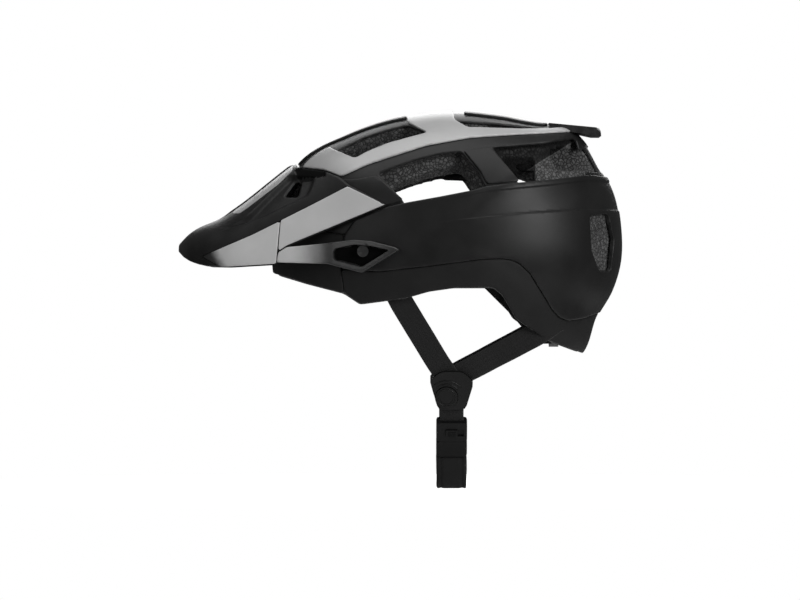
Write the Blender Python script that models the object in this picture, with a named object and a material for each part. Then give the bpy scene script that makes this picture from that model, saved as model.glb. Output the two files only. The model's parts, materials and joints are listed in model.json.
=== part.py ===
"""A trail cycling helmet with an adjustable visor, built as separate pieces.

Metres, +Z up.  The front of the helmet points to -X and the wearer's left to -Y.
The origin is where the top of the head touches the crown pad.  Outlines are drawn
in millimetres on a medium helmet, in side view (x, z) unless a comment says
otherwise, and are graded to the overall sizes below.
"""

import math

import bmesh
import bpy
import numpy as np
from mathutils import Matrix, Vector

# Overall sizes
SHELL_LENGTH = 0.2975
SHELL_WIDTH = 0.214
SHELL_HEIGHT = 0.2065

# Foam between the outer skin and the head
FOAM_FRONT = 0.036
FOAM_REAR = 0.050
FOAM_SIDE = 0.025
FOAM_TOP = 0.0312

# Skin layers, each measured inward from the outer skin
PANEL_OUTER = 0.0004
PANEL_THICKNESS = 0.0014
SEAM_GAP = 0.0003
FRAME_THICKNESS = 0.0016
BELT_OUTER = 0.0
WRAP_OUTER = 0.0010
SPINE_OUTER = 0.0

# Visor
VISOR_WALL = 0.0030
VISOR_RECESS = 0.0016
VISOR_CLEARANCE = 0.0012
POD_PROUD = 0.0030
SPINE_HALF_WIDTH = 0.0085

# Pivot screw and its bush
SCREW_SHANK = 0.0025
SCREW_HEAD = 0.0048
SCREW_HEAD_HEIGHT = 0.0028
SCREW_LENGTH = 0.0150
SCREW_SLOT = 0.0012
BUSH_RADIUS = 0.0048
BUSH_LENGTH = 0.0080
BUSH_SETBACK = 0.0034
BOSS_RADIUS = 0.0078
BOSS_FLOOR = 0.0016

# Fit system
BAND_INSET = 0.0030
BAND_THICKNESS = 0.0016
DIAL_RADIUS = 0.0150
DIAL_THICKNESS = 0.0080
DIAL_RIBS = 20
PINION_RADIUS = 0.0042
RACK_HEIGHT = 0.0046
RACK_THICKNESS = 0.0016
RACK_TRAVEL = 0.0060
RACK_REACH = 0.0115
HOUSING_WIDTH = 0.0440
HOUSING_HEIGHT = 0.0240
HOUSING_DEPTH = 0.0080
NECK_WIDTH = 0.0180
NECK_LAP = 0.0060
CRADLE_GAP = 0.0008
RAIL_WIDTH = 0.0200
RAIL_LENGTH = 0.0340
RAIL_THICKNESS = 0.0024
HEIGHT_TRAVEL = 0.0060

# Pads
PAD_THICKNESS = 0.0060
CROWN_PAD_THICKNESS = 0.0063
BROW_PAD_SHARE = 0.634

# Webbing, splitters, buckle
STRAP_WIDTH = 0.0200
STRAP_THICKNESS = 0.0016
SPLITTER_WIDTH = 0.0370
SPLITTER_HEIGHT = 0.0340
SPLITTER_THICKNESS = 0.0080
CAM_RADIUS = 0.0094
CAM_THICKNESS = 0.0034
BUCKLE_WIDTH = 0.0260
BUCKLE_THICKNESS = 0.0090
BUCKLE_BASE_LENGTH = 0.0200
BUCKLE_PLUG_LENGTH = 0.0160
CHIN_PAD_WALL = 0.0026

RUNNING_GAP = 0.0003

# Fineness of the curved skins
AROUND = 42
ACROSS = 8

# The medium helmet that the outlines are drawn on, in millimetres
DRAWN_LENGTH = 297.5
DRAWN_WIDTH = 214.0
DRAWN_HEIGHT = 206.5
GRADE_X = SHELL_LENGTH / DRAWN_LENGTH
GRADE_Y = SHELL_WIDTH / DRAWN_WIDTH
GRADE_Z = SHELL_HEIGHT / DRAWN_HEIGHT

ROUNDNESS = 2.15
POLE = (4.0, -67.0)
# The dome's outline in side view, anticlockwise from the crown
DOME_OUTLINE = [
    (7.0, 37.5), (-42.5, 32.5), (-88.5, 17.0), (-127.5, -6.0), (-144.0, -36.0), (-151.0, -67.0),
    (-151.5, -95.0), (-140.0, -137.5), (-93.5, -177.5), (-42.5, -197.0), (7.0, -203.0),
    (59.5, -197.0), (93.5, -185.0), (114.0, -169.0), (126.0, -137.5), (138.5, -115.5),
    (145.5, -92.5), (146.0, -61.0), (141.0, -34.0), (129.0, -9.0), (115.5, 14.0), (104.0, 24.5),
    (76.5, 28.0), (42.5, 34.0),
]

# Lines that neighbouring skins share
BELT_TOP = [
    (-89.0, -69.0), (-80.0, -56.0), (-52.0, -45.0), (-36.5, -41.5), (-8.5, -36.5), (17.0, -31.5),
    (31.5, -27.5), (60.0, -24.5), (85.0, -22.0), (118.0, -17.5), (150.0, -19.0),
]
LOWER_SEAM = [
    (-92.0, -97.0), (-59.5, -99.5), (-18.5, -95.0), (27.0, -89.0), (47.5, -89.0), (57.0, -91.5),
    (66.5, -100.0), (79.0, -120.0), (89.0, -135.0), (98.5, -140.5), (112.0, -139.0), (160.0, -124.0),
]
RIM = [
    (-160.0, -92.0), (-150.0, -101.0), (-120.0, -110.0), (-89.0, -118.0), (-75.5, -127.0), (-38.0, -122.0),
    (-17.0, -116.0), (4.0, -113.0), (36.0, -113.0), (44.0, -120.0), (55.0, -139.0), (81.0, -157.0),
    (113.0, -169.0), (150.0, -176.0),
]
FRONT_SEAM = [(-89.0, -69.0), (-92.0, -97.0), (-89.0, -118.0)]
BROW_LINE = [(-89.0, -69.0), (-106.0, -66.0), (-130.0, -58.0), (-170.0, -40.0)]

VENT_FRONT_SIDE = [
    (-61.0, -16.0), (-31.5, -5.0), (-8.5, 1.0), (9.0, 3.0), (24.0, -15.5), (30.0, -30.0), (17.0, -34.5),
    (-8.5, -39.5), (-37.0, -43.5),
]
VENT_REAR_SIDE = [(35.5, 6.5), (77.5, 11.0), (108.0, 15.0), (118.0, -20.5), (85.0, -25.0), (60.0, -27.5)]
VENT_TOP_FRONT = [(-97.0, 4.0), (-74.0, 15.5), (-54.5, 22.0), (-36.5, 26.5), (-20.0, 19.5), (-52.0, 10.5),
                  (-70.5, 3.0), (-80.0, -2.5)]
VENT_TOP_REAR = [(5.0, 29.5), (35.5, 28.0), (59.5, 26.0), (80.0, 23.5), (59.5, 23.0), (14.5, 24.0)]
VENT_BELT_REAR = [(117.5, -52.0), (134.0, -50.5), (139.0, -72.0), (136.0, -100.0), (126.0, -99.0), (119.0, -81.0)]

STRIPE = [
    (-131.0, -9.5), (-140.0, 0.0), (-118.0, 20.0), (-99.0, 5.0), (-80.0, -3.5), (-70.5, 2.0), (-52.0, 9.5),
    (-19.0, 18.5), (-36.0, 28.0), (-37.0, 45.0), (3.0, 45.0), (3.5, 30.0), (14.5, 23.0), (59.5, 22.0),
    (84.0, 22.5), (106.0, 25.0), (106.0, 20.5), (59.5, 17.5), (16.0, 14.0), (-8.5, 9.5), (-21.0, 7.0),
    (-52.0, -3.0), (-70.5, -9.0), (-92.0, -19.0), (-106.0, -13.0),
]

# Head form: how round it is in plan and in height
HEAD_PLAN_ROUNDNESS = 2.25
HEAD_RISE_ROUNDNESS = 2.1
HEAD_TAPER = 0.05

# Visor: the top line, and the half width at its lower edge, from the nose back
VISOR_TOP = [(-230.5, -77.0), (-224.0, -70.0), (-188.5, -51.0), (-129.0, -6.0), (-92.0, 18.0), (-60.0, 33.0), (-38.0, 40.0)]
VISOR_HALF_WIDTH = [
    (-230.5, 20.0), (-224.0, 42.0), (-208.0, 62.0), (-188.5, 74.0), (-161.5, 81.5), (-129.0, 87.0),
    (-102.0, 92.5), (-73.0, 102.0), (-53.5, 108.0), (-38.0, 111.0),
]
VISOR_EDGE = -95.0
VISOR_SKIRT = 12.0
VISOR_ROUNDNESS = 2.6
VISOR_OUTLINE = [
    (-240.0, -72.0), (-240.0, 60.0), (-131.0, 60.0), (-130.5, -10.0), (-106.0, -14.5), (-93.0, -19.5),
    (-85.0, -26.5), (-53.5, -43.5), (-102.0, -64.0), (-120.5, -71.5), (-137.0, -78.5), (-143.0, -92.5),
    (-188.0, -95.0), (-230.0, -82.0),
]
SIDE_PANEL = [(-208.5, -86.5), (-166.0, -68.5), (-142.6, -57.0), (-146.2, -96.0), (-188.0, -98.0)]
REAR_PANEL = [(-142.0, -56.5), (-115.0, -43.0), (-86.0, -28.0), (-55.0, -43.5), (-102.0, -63.0), (-120.5, -70.5),
              (-136.5, -77.2), (-143.9, -82.0)]
ARM = [(-144.0, -83.2), (-137.0, -78.8), (-102.0, -75.5), (-80.0, -73.0), (-66.0, -74.0), (-41.0, -80.5),
       (-73.0, -100.5), (-102.0, -93.0), (-145.5, -91.5)]
POD = [(-106.0, -76.0), (-80.0, -73.0), (-66.0, -74.0), (-41.0, -80.5), (-73.0, -100.5), (-106.0, -92.8)]
CENTRE_INSERT = [(-183.0, -48.0), (-150.0, -23.0), (-133.0, -7.0), (-133.0, -14.0), (-150.0, -31.0), (-169.0, -50.0)]
VISOR_CHANNEL = [(-196.0, -66.0), (-170.0, -52.0), (-151.0, -33.0), (-134.0, -17.0), (-112.0, -18.5), (-118.0, -36.0),
                 (-160.0, -56.0)]
VISOR_VENT = [(-141.0, -34.0), (-132.0, -20.5), (-126.0, -20.5), (-129.0, -35.0)]
PIVOT = (-73.0, -82.5)
POD_CAVITY = [(-97.0, -80.5), (-80.0, -76.8), (-66.0, -77.8), (-50.0, -81.6), (-73.0, -96.0), (-97.0, -89.8)]


# Small geometry helpers


def grade(points):
    """Side-view millimetres to metres on this helmet's size."""
    return [(x * GRADE_X, z * GRADE_Z) for x, z in points]


def softened(points, reach, steps=2):
    """The outline with each corner replaced by a short curve."""
    corners = [Vector(p) for p in points]
    count = len(corners)
    result = []
    for i, corner in enumerate(corners):
        before = corners[i - 1] - corner
        after = corners[(i + 1) % count] - corner
        start = corner + before.normalized() * min(reach, before.length * 0.4)
        end = corner + after.normalized() * min(reach, after.length * 0.4)
        for k in range(steps + 1):
            t = k / steps
            result.append(tuple(start * (1 - t) ** 2 + corner * 2 * t * (1 - t) + end * t * t))
    return result


def smooth_table(table, x):
    """A smooth curve through (x, value) pairs in rising order of x."""
    xs = np.array([p[0] for p in table], float)
    ys = np.array([p[1] for p in table], float)
    slopes = np.gradient(ys, xs)
    x = min(max(x, xs[0]), xs[-1])
    i = min(int(np.searchsorted(xs, x, side="right")) - 1, len(xs) - 2)
    h = xs[i + 1] - xs[i]
    t = (x - xs[i]) / h
    return float(
        ys[i] * (1 + 2 * t) * (1 - t) ** 2
        + slopes[i] * h * t * (1 - t) ** 2
        + ys[i + 1] * t * t * (3 - 2 * t)
        + slopes[i + 1] * h * t * t * (t - 1)
    )


def polar_table(points, centre):
    """Angle and radius of the outline round a centre, wrapped once past each end."""
    polar = []
    for x, z in points:
        dx, dz = x - centre[0], z - centre[1]
        polar.append((math.atan2(dz, dx), math.hypot(dx, dz)))
    polar.sort()
    turn = 2 * math.pi
    head = [(angle - turn, radius) for angle, radius in polar[-3:]]
    tail = [(angle + turn, radius) for angle, radius in polar[:3]]
    return head + polar + tail


DOME_CENTRE = grade([POLE])[0]
DOME_TABLE = polar_table(grade(DOME_OUTLINE), DOME_CENTRE)
HALF_WIDTH = SHELL_WIDTH / 2


def dome_half_width(x, z, inset=0.0):
    """Half width of the skin, sunk by inset, at one place in side view."""
    dx, dz = x - DOME_CENTRE[0], z - DOME_CENTRE[1]
    radius = smooth_table(DOME_TABLE, math.atan2(dz, dx)) - inset
    share = min(math.hypot(dx, dz) / radius, 1.0)
    return (HALF_WIDTH - inset) * (1 - share**ROUNDNESS) ** (1 / ROUNDNESS)


# Making objects


def new_solid(points, faces, name="tool"):
    mesh = bpy.data.meshes.new(name)
    mesh.from_pydata([tuple(p) for p in points], [], faces)
    shape = bmesh.new()
    shape.from_mesh(mesh)
    bmesh.ops.remove_doubles(shape, verts=shape.verts, dist=1e-6)
    bmesh.ops.recalc_face_normals(shape, faces=shape.faces)
    shape.to_mesh(mesh)
    shape.free()
    obj = bpy.data.objects.new(name, mesh)
    bpy.context.collection.objects.link(obj)
    return obj


def combine(target, tool, how):
    """Joins, cuts or intersects two solids and removes the tool."""
    modifier = target.modifiers.new(how, "BOOLEAN")
    modifier.operation = how
    modifier.object = tool
    modifier.solver = "EXACT"
    bpy.context.view_layer.update()
    evaluated = target.evaluated_get(bpy.context.evaluated_depsgraph_get())
    mesh = bpy.data.meshes.new_from_object(evaluated)
    target.modifiers.clear()
    target.data = mesh
    bpy.data.objects.remove(tool)
    return target


def cut(target, *tools):
    for tool in tools:
        combine(target, tool, "DIFFERENCE")
    return target


def keep(target, *tools):
    for tool in tools:
        combine(target, tool, "INTERSECT")
    return target


def join(target, *tools):
    for tool in tools:
        combine(target, tool, "UNION")
    return target


def mirrored(solid):
    """A copy on the other side of the centre plane."""
    copy = solid.copy()
    copy.data = solid.data.copy()
    bpy.context.collection.objects.link(copy)
    shape = bmesh.new()
    shape.from_mesh(copy.data)
    bmesh.ops.transform(shape, matrix=Matrix.Scale(-1, 4, (0, 1, 0)), verts=shape.verts)
    bmesh.ops.reverse_faces(shape, faces=shape.faces)
    shape.to_mesh(copy.data)
    shape.free()
    return copy


def loft(rings):
    """Closed solid through rings of equal length, with flat-filled ends."""
    count = len(rings[0])
    points = [p for ring in rings for p in ring]
    faces = [list(range(count)), list(range(len(points) - count, len(points)))]
    for r in range(len(rings) - 1):
        for i in range(count):
            j = (i + 1) % count
            faces.append([r * count + i, r * count + j, (r + 1) * count + j, (r + 1) * count + i])
    return new_solid(points, faces)


def side_prism(outline, low=-0.2, high=0.2):
    """A side-view outline in metres, extruded across the helmet."""
    return loft([[(x, y, z) for x, z in outline] for y in (low, high)])


def plan_prism(outline, low, high):
    return loft([[(x, y, z) for x, y in outline] for z in (low, high)])


def front_prism(outline, low, high):
    return loft([[(x, y, z) for y, z in outline] for x in (low, high)])


def box(low, high):
    (x0, y0, z0), (x1, y1, z1) = low, high
    return plan_prism([(x0, y0), (x1, y0), (x1, y1), (x0, y1)], z0, z1)


def circle(centre, radius, count):
    return [
        (centre[0] + radius * math.cos(2 * math.pi * i / count), centre[1] + radius * math.sin(2 * math.pi * i / count))
        for i in range(count)
    ]


def half_space(side):
    """Everything on the wearer's left (-1) or right (+1)."""
    return box((-0.5, 0, -0.5), (0.5, 0.5, 0.5)) if side > 0 else box((-0.5, -0.5, -0.5), (0.5, 0, 0.5))


def one_side(solid, side):
    return keep(solid, half_space(side))


def dome(inset):
    """The whole closed form of the skin, sunk by inset."""
    points = [(DOME_CENTRE[0], -(HALF_WIDTH - inset), DOME_CENTRE[1])]
    for ring in range(1, 2 * ACROSS):
        turn = ring / ACROSS * math.pi / 2
        share = math.sin(turn) ** (2 / ROUNDNESS)
        level = -math.copysign(abs(math.cos(turn)) ** (2 / ROUNDNESS), math.cos(turn)) * (HALF_WIDTH - inset)
        for i in range(AROUND):
            angle = -math.pi + 2 * math.pi * i / AROUND
            reach = share * (smooth_table(DOME_TABLE, angle) - inset)
            points.append((DOME_CENTRE[0] + reach * math.cos(angle), level, DOME_CENTRE[1] + reach * math.sin(angle)))
    points.append((DOME_CENTRE[0], HALF_WIDTH - inset, DOME_CENTRE[1]))
    return wrapped_sphere(points, 2 * ACROSS - 1, AROUND)


def wrapped_sphere(points, rings, count):
    """Pole, rings, pole, closed into one solid."""
    faces = []
    last = len(points) - 1
    for i in range(count):
        j = (i + 1) % count
        faces.append([0, 1 + i, 1 + j])
        top = 1 + (rings - 1) * count
        faces.append([last, top + j, top + i])
        for r in range(rings - 1):
            a = 1 + r * count
            faces.append([a + i, a + count + i, a + count + j, a + j])
    return new_solid(points, faces)


# The head form: the space inside the foam
HEAD_FRONT = grade([(-151.5, 0)])[0][0] + FOAM_FRONT
HEAD_REAR = grade([(146.0, 0)])[0][0] - FOAM_REAR
HEAD_MIDDLE = (HEAD_FRONT + HEAD_REAR) / 2
HEAD_HALF_LENGTH = (HEAD_REAR - HEAD_FRONT) / 2
HEAD_HALF_WIDTH = HALF_WIDTH - FOAM_SIDE
HEAD_LEVEL = DOME_CENTRE[1]
HEAD_CEILING = grade([(0, 37.5)])[0][1] - FOAM_TOP
HEAD_FLOOR = grade([(0, -200.0)])[0][1]
CROWN_FACE = HEAD_CEILING - CROWN_PAD_THICKNESS


def head_scale(z, inset=0.0):
    """How full the head form's plan is at a height."""
    if z >= HEAD_LEVEL:
        rise = min((z - HEAD_LEVEL) / (HEAD_CEILING - HEAD_LEVEL - inset), 1.0)
        return (1 - rise**HEAD_RISE_ROUNDNESS) ** (1 / HEAD_RISE_ROUNDNESS)
    return 1 - HEAD_TAPER * ((HEAD_LEVEL - z) / (HEAD_LEVEL - HEAD_FLOOR)) ** 2


def head_point(turn, z, inset=0.0):
    scale = head_scale(z, inset)
    c, s = math.cos(turn), math.sin(turn)
    power = 2 / HEAD_PLAN_ROUNDNESS
    x = HEAD_MIDDLE + math.copysign(abs(c) ** power, c) * (HEAD_HALF_LENGTH - inset) * scale
    y = math.copysign(abs(s) ** power, s) * (HEAD_HALF_WIDTH - inset) * scale
    return (x, y, z)


def head_rear(y, z, inset=0.0):
    """Where the rear wall of the head form stands, at a width and a height."""
    scale = head_scale(z, inset)
    share = min(abs(y) / ((HEAD_HALF_WIDTH - inset) * scale), 1.0)
    depth = (1 - share**HEAD_PLAN_ROUNDNESS) ** (1 / HEAD_PLAN_ROUNDNESS)
    return HEAD_MIDDLE + depth * (HEAD_HALF_LENGTH - inset) * scale


def head_form(inset, count=32, levels=5):
    """Closed solid of the head space, sunk by inset."""
    rings = []
    for z in (HEAD_FLOOR, (HEAD_FLOOR + HEAD_LEVEL) / 2):
        rings.append([head_point(2 * math.pi * i / count, z, inset) for i in range(count)])
    height = HEAD_CEILING - HEAD_LEVEL - inset
    for k in range(levels):
        z = HEAD_LEVEL + height * math.sin(math.pi / 2 * k / levels) ** (2 / HEAD_RISE_ROUNDNESS)
        rings.append([head_point(2 * math.pi * i / count, z, inset) for i in range(count)])
    points = [(HEAD_MIDDLE, 0, HEAD_FLOOR)] + [p for ring in rings for p in ring]
    points.append((HEAD_MIDDLE, 0, HEAD_CEILING - inset))
    return wrapped_sphere(points, len(rings), count)


def head_layer(outer, inner):
    return cut(head_form(outer), head_form(inner))


def skin_layer(outer, inner):
    return cut(dome(outer), dome(inner))


def vent_tool(outline, lean, out, into):
    """A passage that starts on the skin and runs inward, leaning down."""
    near, far = [], []
    for x, z in outline:
        y = -dome_half_width(x, z)
        near.append((x, y - out * math.cos(lean), z + out * math.sin(lean)))
        far.append((x, y + into * math.cos(lean), z - into * math.sin(lean)))
    return loft([near, far])


def vent_tools(outline, lean, out, into):
    tool = vent_tool(grade(outline), math.radians(lean), out, into)
    return [tool, mirrored(tool)]


# Materials and naming


def plastic(name, grey, roughness, metallic=0.0, tint=(1.0, 1.0, 1.0)):
    material = bpy.data.materials.new(name)
    material.use_nodes = True
    shader = material.node_tree.nodes["Principled BSDF"]
    shader.inputs["Base Color"].default_value = (grey * tint[0], grey * tint[1], grey * tint[2], 1.0)
    shader.inputs["Roughness"].default_value = roughness
    shader.inputs["Metallic"].default_value = metallic
    material.diffuse_color = shader.inputs["Base Color"].default_value
    return material


def finish(obj, name, look, parent=None, origin=None):
    """Names a piece, gives it its material and puts its origin on its axis."""
    obj.name = name
    obj.data.name = name
    obj.data.materials.clear()
    obj.data.materials.append(plastic(name, *look))
    place = Vector(origin) if origin else Vector((0, 0, 0))
    obj.data.transform(Matrix.Translation(-place))
    obj.data.shade_smooth()
    obj.data.set_sharp_from_angle(angle=math.radians(35))
    base = parent.matrix_world.translation if parent else Vector((0, 0, 0))
    obj.parent = parent
    obj.location = place - base
    return obj


def axis_empty(name, place):
    empty = bpy.data.objects.new(name, None)
    empty.empty_display_size = 0.01
    bpy.context.collection.objects.link(empty)
    empty.location = place
    bpy.context.view_layer.update()
    return empty


SIDES = (("left", -1), ("right", 1))

BLACK = (0.020, 0.45)
SATIN = (0.028, 0.38)
MATTE = (0.016, 0.70)
GREY = (0.36, 0.42)
FOAM = (0.050, 0.85)
CLOTH = (0.012, 0.90)
NYLON = (0.010, 0.80)
STEEL = (0.30, 0.35, 1.0)


# Shell


def band_between(upper, lower):
    """Outline between an upper line and a lower line, both running backwards."""
    return grade(upper) + grade(lower)[::-1]


def lowered(line, amount):
    return [(x, z - amount * 1000) for x, z in line]


def rim_prism():
    """Everything under the rim."""
    return side_prism(grade(RIM + [(150.0, -300.0), (-160.0, -300.0)]))


def pivot_place():
    return grade([PIVOT])[0]


def pivot_column(radius, inner, outer, side, count=16):
    """A cylinder on the visor's axis, between two distances from the centre plane."""
    ring = circle(pivot_place(), radius, count)
    low, high = sorted((side * inner, side * outer))
    return side_prism(ring, low, high)


def skin_at_pivot():
    return dome_half_width(*pivot_place())


def bush_outer_face():
    return skin_at_pivot() - FRAME_INNER - BUSH_SETBACK


FRAME_OUTER = PANEL_OUTER + PANEL_THICKNESS + SEAM_GAP
FRAME_INNER = FRAME_OUTER + FRAME_THICKNESS
FOAM_OUTER = FRAME_INNER + SEAM_GAP


def top_vents():
    """Passages between the top strips, on both sides."""
    return vent_tools(VENT_TOP_FRONT, 62, 0.02, 0.06) + vent_tools(VENT_TOP_REAR, 70, 0.02, 0.06)


def crown_slots():
    """Two long slots in the centre of the crown, drawn in plan."""
    front = softened([(-0.078, -0.008), (-0.030, -0.010), (-0.030, 0.010), (-0.078, 0.008)], 0.006)
    rear = softened([(0.030, -0.010), (0.082, -0.008), (0.082, 0.008), (0.030, 0.010)], 0.006)
    return [plan_prism(slot, -0.05, 0.08) for slot in (front, rear)]


def brow_intakes():
    """Three openings under the visor, drawn in front view."""
    middle = softened([(-0.020, -0.040), (0.020, -0.040), (0.024, -0.018), (-0.024, -0.018)], 0.005)
    left = softened([(-0.062, -0.050), (-0.032, -0.044), (-0.036, -0.018), (-0.058, -0.026)], 0.005)
    right = [(-y, z) for y, z in left]
    return [front_prism(outline, -0.2, -0.085) for outline in (middle, left, right)]


def tail_exhausts():
    """Three openings at the rear, between the tail and the belt."""
    middle = softened([(-0.020, -0.014), (0.020, -0.014), (0.022, 0.008), (-0.022, 0.008)], 0.005)
    left = softened([(-0.056, -0.014), (-0.028, -0.014), (-0.030, 0.007), (-0.050, 0.002)], 0.005)
    right = [(-y, z) for y, z in left]
    return [front_prism(outline, 0.055, 0.2) for outline in (middle, left, right)]


def side_vents(out, into):
    return vent_tools(VENT_FRONT_SIDE, 20, out, into) + vent_tools(VENT_REAR_SIDE, 25, out, into)


def upper_frame():
    """Black skin over the whole top, down to the belt."""
    line = BROW_LINE[::-1] + BELT_TOP[1:]
    outline = grade([(-170.0, 80.0)] + lowered(line, -SEAM_GAP) + [(150.0, 80.0)])
    body = keep(skin_layer(FRAME_OUTER, FRAME_INNER), side_prism(outline))
    cut(body, *side_vents(0.02, 0.02), *top_vents(), *crown_slots(), *brow_intakes(), *tail_exhausts())
    return finish(body, "upper_frame", BLACK)


def top_panel():
    """Light stripe from the forked front patch to the tail, joined over the crown."""
    layer = skin_layer(PANEL_OUTER, FRAME_OUTER - SEAM_GAP)
    body = keep(layer, side_prism(softened(grade(STRIPE), 0.003)))
    cut(body, plan_prism([(-0.2, -0.031), (-0.036, -0.031), (-0.036, 0.031), (-0.2, 0.031)], -0.1, 0.1))
    cut(body, plan_prism([(0.012, -0.031), (0.2, -0.031), (0.2, 0.031), (0.012, 0.031)], -0.1, 0.1))
    return finish(body, "top_panel", GREY)


def spine_strip(name, start, end, half_front, half_rear):
    """One length of the raised centre strip, with the crown slot through it."""
    outline = softened([(start, -half_front), (end, -half_rear), (end, half_rear), (start, half_front)], 0.004)
    body = keep(skin_layer(SPINE_OUTER, FRAME_OUTER - SEAM_GAP), plan_prism(outline, -0.03, 0.1))
    cut(body, *crown_slots())
    return finish(body, name, SATIN)


def front_rib(side, label):
    """Strip between the visor and the front side vent."""
    outline = grade([(-93.0, -21.0), (-81.0, -22.0), (-62.0, -18.5), (-38.5, -40.0), (-52.5, -43.5), (-80.0, -54.0),
                     (-105.0, -60.0), (-112.0, -40.0)])
    layer = skin_layer(PANEL_OUTER, FRAME_OUTER - SEAM_GAP)
    body = one_side(keep(layer, side_prism(softened(outline, 0.003))), side)
    return finish(body, f"front_rib_{label}", SATIN)


def slanted_rib(side, label):
    """Raised rib between the two side vents."""
    outline = grade([(11.0, 2.5), (34.0, 6.0), (58.0, -23.5), (31.0, -26.0), (25.0, -15.0)])
    layer = skin_layer(PANEL_OUTER, FRAME_OUTER - SEAM_GAP)
    body = one_side(keep(layer, side_prism(softened(outline, 0.002))), side)
    return finish(body, f"slanted_rib_{label}", BLACK)


def tail_spoiler():
    """Flat-topped lip at the rear of the crown."""
    outline = grade([(84.0, 26.6), (127.5, 22.5), (128.0, 15.5), (121.0, 15.5), (112.0, 17.5), (86.0, 21.5)])
    body = keep(cut(dome(-0.016), dome(FRAME_OUTER - SEAM_GAP)), side_prism(outline))
    keep(body, plan_prism(softened([(0.05, -0.030), (0.2, -0.030), (0.2, 0.030), (0.05, 0.030)], 0.004), -0.1, 0.1))
    return finish(body, "tail_spoiler", BLACK)


def belt_panel():
    """Wide side skin, running round the rear from one mount to the other."""
    outline = band_between(BELT_TOP, LOWER_SEAM)
    body = keep(skin_layer(BELT_OUTER, FRAME_INNER), side_prism(outline))
    step = band_between(BELT_STEP, BELT_TOP_CLEAR)
    cut(body, *vent_tools(softened(VENT_BELT_REAR, 3.0), 0, 0.02, 0.02))
    cut(body, keep(cut(dome(-0.01), dome(BELT_OUTER + BELT_STEP_DEPTH)), side_prism(step)))
    for _, side in SIDES:
        cut(body, pivot_column(SCREW_SHANK + RUNNING_GAP, 0.06, 0.12, side))
    return finish(body, "belt_panel", SATIN)


BELT_STEP_DEPTH = 0.0008
BELT_STEP = [(-17.0, -61.0), (5.0, -56.0), (66.5, -50.0), (110.0, -48.0), (170.0, -48.0)]
BELT_TOP_CLEAR = [(-17.0, -42.5), (31.5, -31.5), (85.0, -26.0), (118.0, -21.5), (170.0, -23.0)]


def lower_wrap():
    """Matte skin from the belt's seam to the rim, round the rear."""
    outline = band_between(lowered(LOWER_SEAM, SEAM_GAP), RIM[3:])
    body = keep(skin_layer(WRAP_OUTER, FRAME_INNER), side_prism(outline))
    return finish(body, "lower_wrap", MATTE)


def brow_panel():
    """Skin across the forehead, under the visor."""
    seam = [(x - SEAM_GAP * 1000, z) for x, z in FRONT_SEAM]
    upper = lowered(BROW_LINE[:0:-1], SEAM_GAP)
    outline = grade(upper + seam + RIM[2::-1])
    body = keep(skin_layer(WRAP_OUTER, FRAME_INNER), side_prism(outline))
    return finish(body, "brow_panel", MATTE)


def foam_liner():
    """Foam body with its head space, passages and pockets."""
    body = cut(dome(FOAM_OUTER), head_form(0.0), rim_prism())
    cut(body, *top_vents(), *crown_slots(), *brow_intakes(), *tail_exhausts())
    cut(body, *side_vents(0.02, 0.012))
    cut(body, *vent_tools([(-50.0, -19.0), (-10.0, -5.0), (8.0, -1.0), (22.0, -20.0), (15.0, -29.5), (-34.0, -39.0)],
                          32, 0.02, 0.06))
    cut(body, *vent_tools([(42.0, 5.0), (70.0, 6.0), (72.0, -22.0), (60.0, -22.5), (50.0, -12.0)], 38, 0.02, 0.06))
    cut(body, *vent_tools(softened(VENT_BELT_REAR, 3.0), 0, 0.02, 0.008))
    for _, side in SIDES:
        face = bush_outer_face()
        cut(body, pivot_column(BUSH_RADIUS + RUNNING_GAP, face - BUSH_LENGTH - RUNNING_GAP, 0.12, side))
        for tool in strap_slots(side):
            cut(body, tool)
    cut(body, dial_pocket())
    return finish(body, "foam_liner", FOAM)


# Webbing


def ribbon(path, across, width, thickness, grow=0.0):
    """Flat webbing along a path, its width turned to one direction at each point."""
    rings = []
    count = len(path)
    for i, here in enumerate(path):
        along = (Vector(path[min(i + 1, count - 1)]) - Vector(path[max(i - 1, 0)])).normalized()
        wide = (across[i] - along * across[i].dot(along)).normalized()
        half = wide * (width / 2 + grow)
        thick = along.cross(wide).normalized() * (thickness / 2 + grow)
        centre = Vector(here)
        rings.append([centre - half - thick, centre + half - thick, centre + half + thick, centre - half + thick])
    return loft(rings)


def faced_ribbon(path, facing, grow=0.0):
    """Strap webbing whose flat side looks the given way at each point."""
    count = len(path)
    across = []
    for i in range(count):
        along = Vector(path[min(i + 1, count - 1)]) - Vector(path[max(i - 1, 0)])
        across.append(Vector(facing[i]).cross(along))
    return ribbon(path, across, STRAP_WIDTH, STRAP_THICKNESS, grow)


FRONT_ANCHOR = grade([(-49.0, -108.0), (-41.5, -124.0)])
REAR_ANCHOR = grade([(90.0, -140.0), (73.0, -151.5)])
SPLITTER_PLACE = grade([(1.5, -198.0)])[0]
SPLITTER_OUT = 0.0620
SPLITTER_LEAN = math.radians(20)
FRONT_ENTRY = -0.0070
REAR_ENTRY = 0.0100


def splitter_out(side):
    return Vector((0, side * math.cos(SPLITTER_LEAN), -math.sin(SPLITTER_LEAN)))


def splitter_point(u, v, w, side):
    """A place on the splitter: along X, up its face, and out from its middle."""
    up = Vector((0, side * math.sin(SPLITTER_LEAN), math.cos(SPLITTER_LEAN)))
    centre = Vector((SPLITTER_PLACE[0], side * SPLITTER_OUT, SPLITTER_PLACE[1]))
    return centre + Vector((u, 0, 0)) + up * v + splitter_out(side) * w


def strap_depth(place):
    """Midway through the foam, where webbing leaves it."""
    return dome_half_width(*place) - FOAM_SIDE * 0.45


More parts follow.
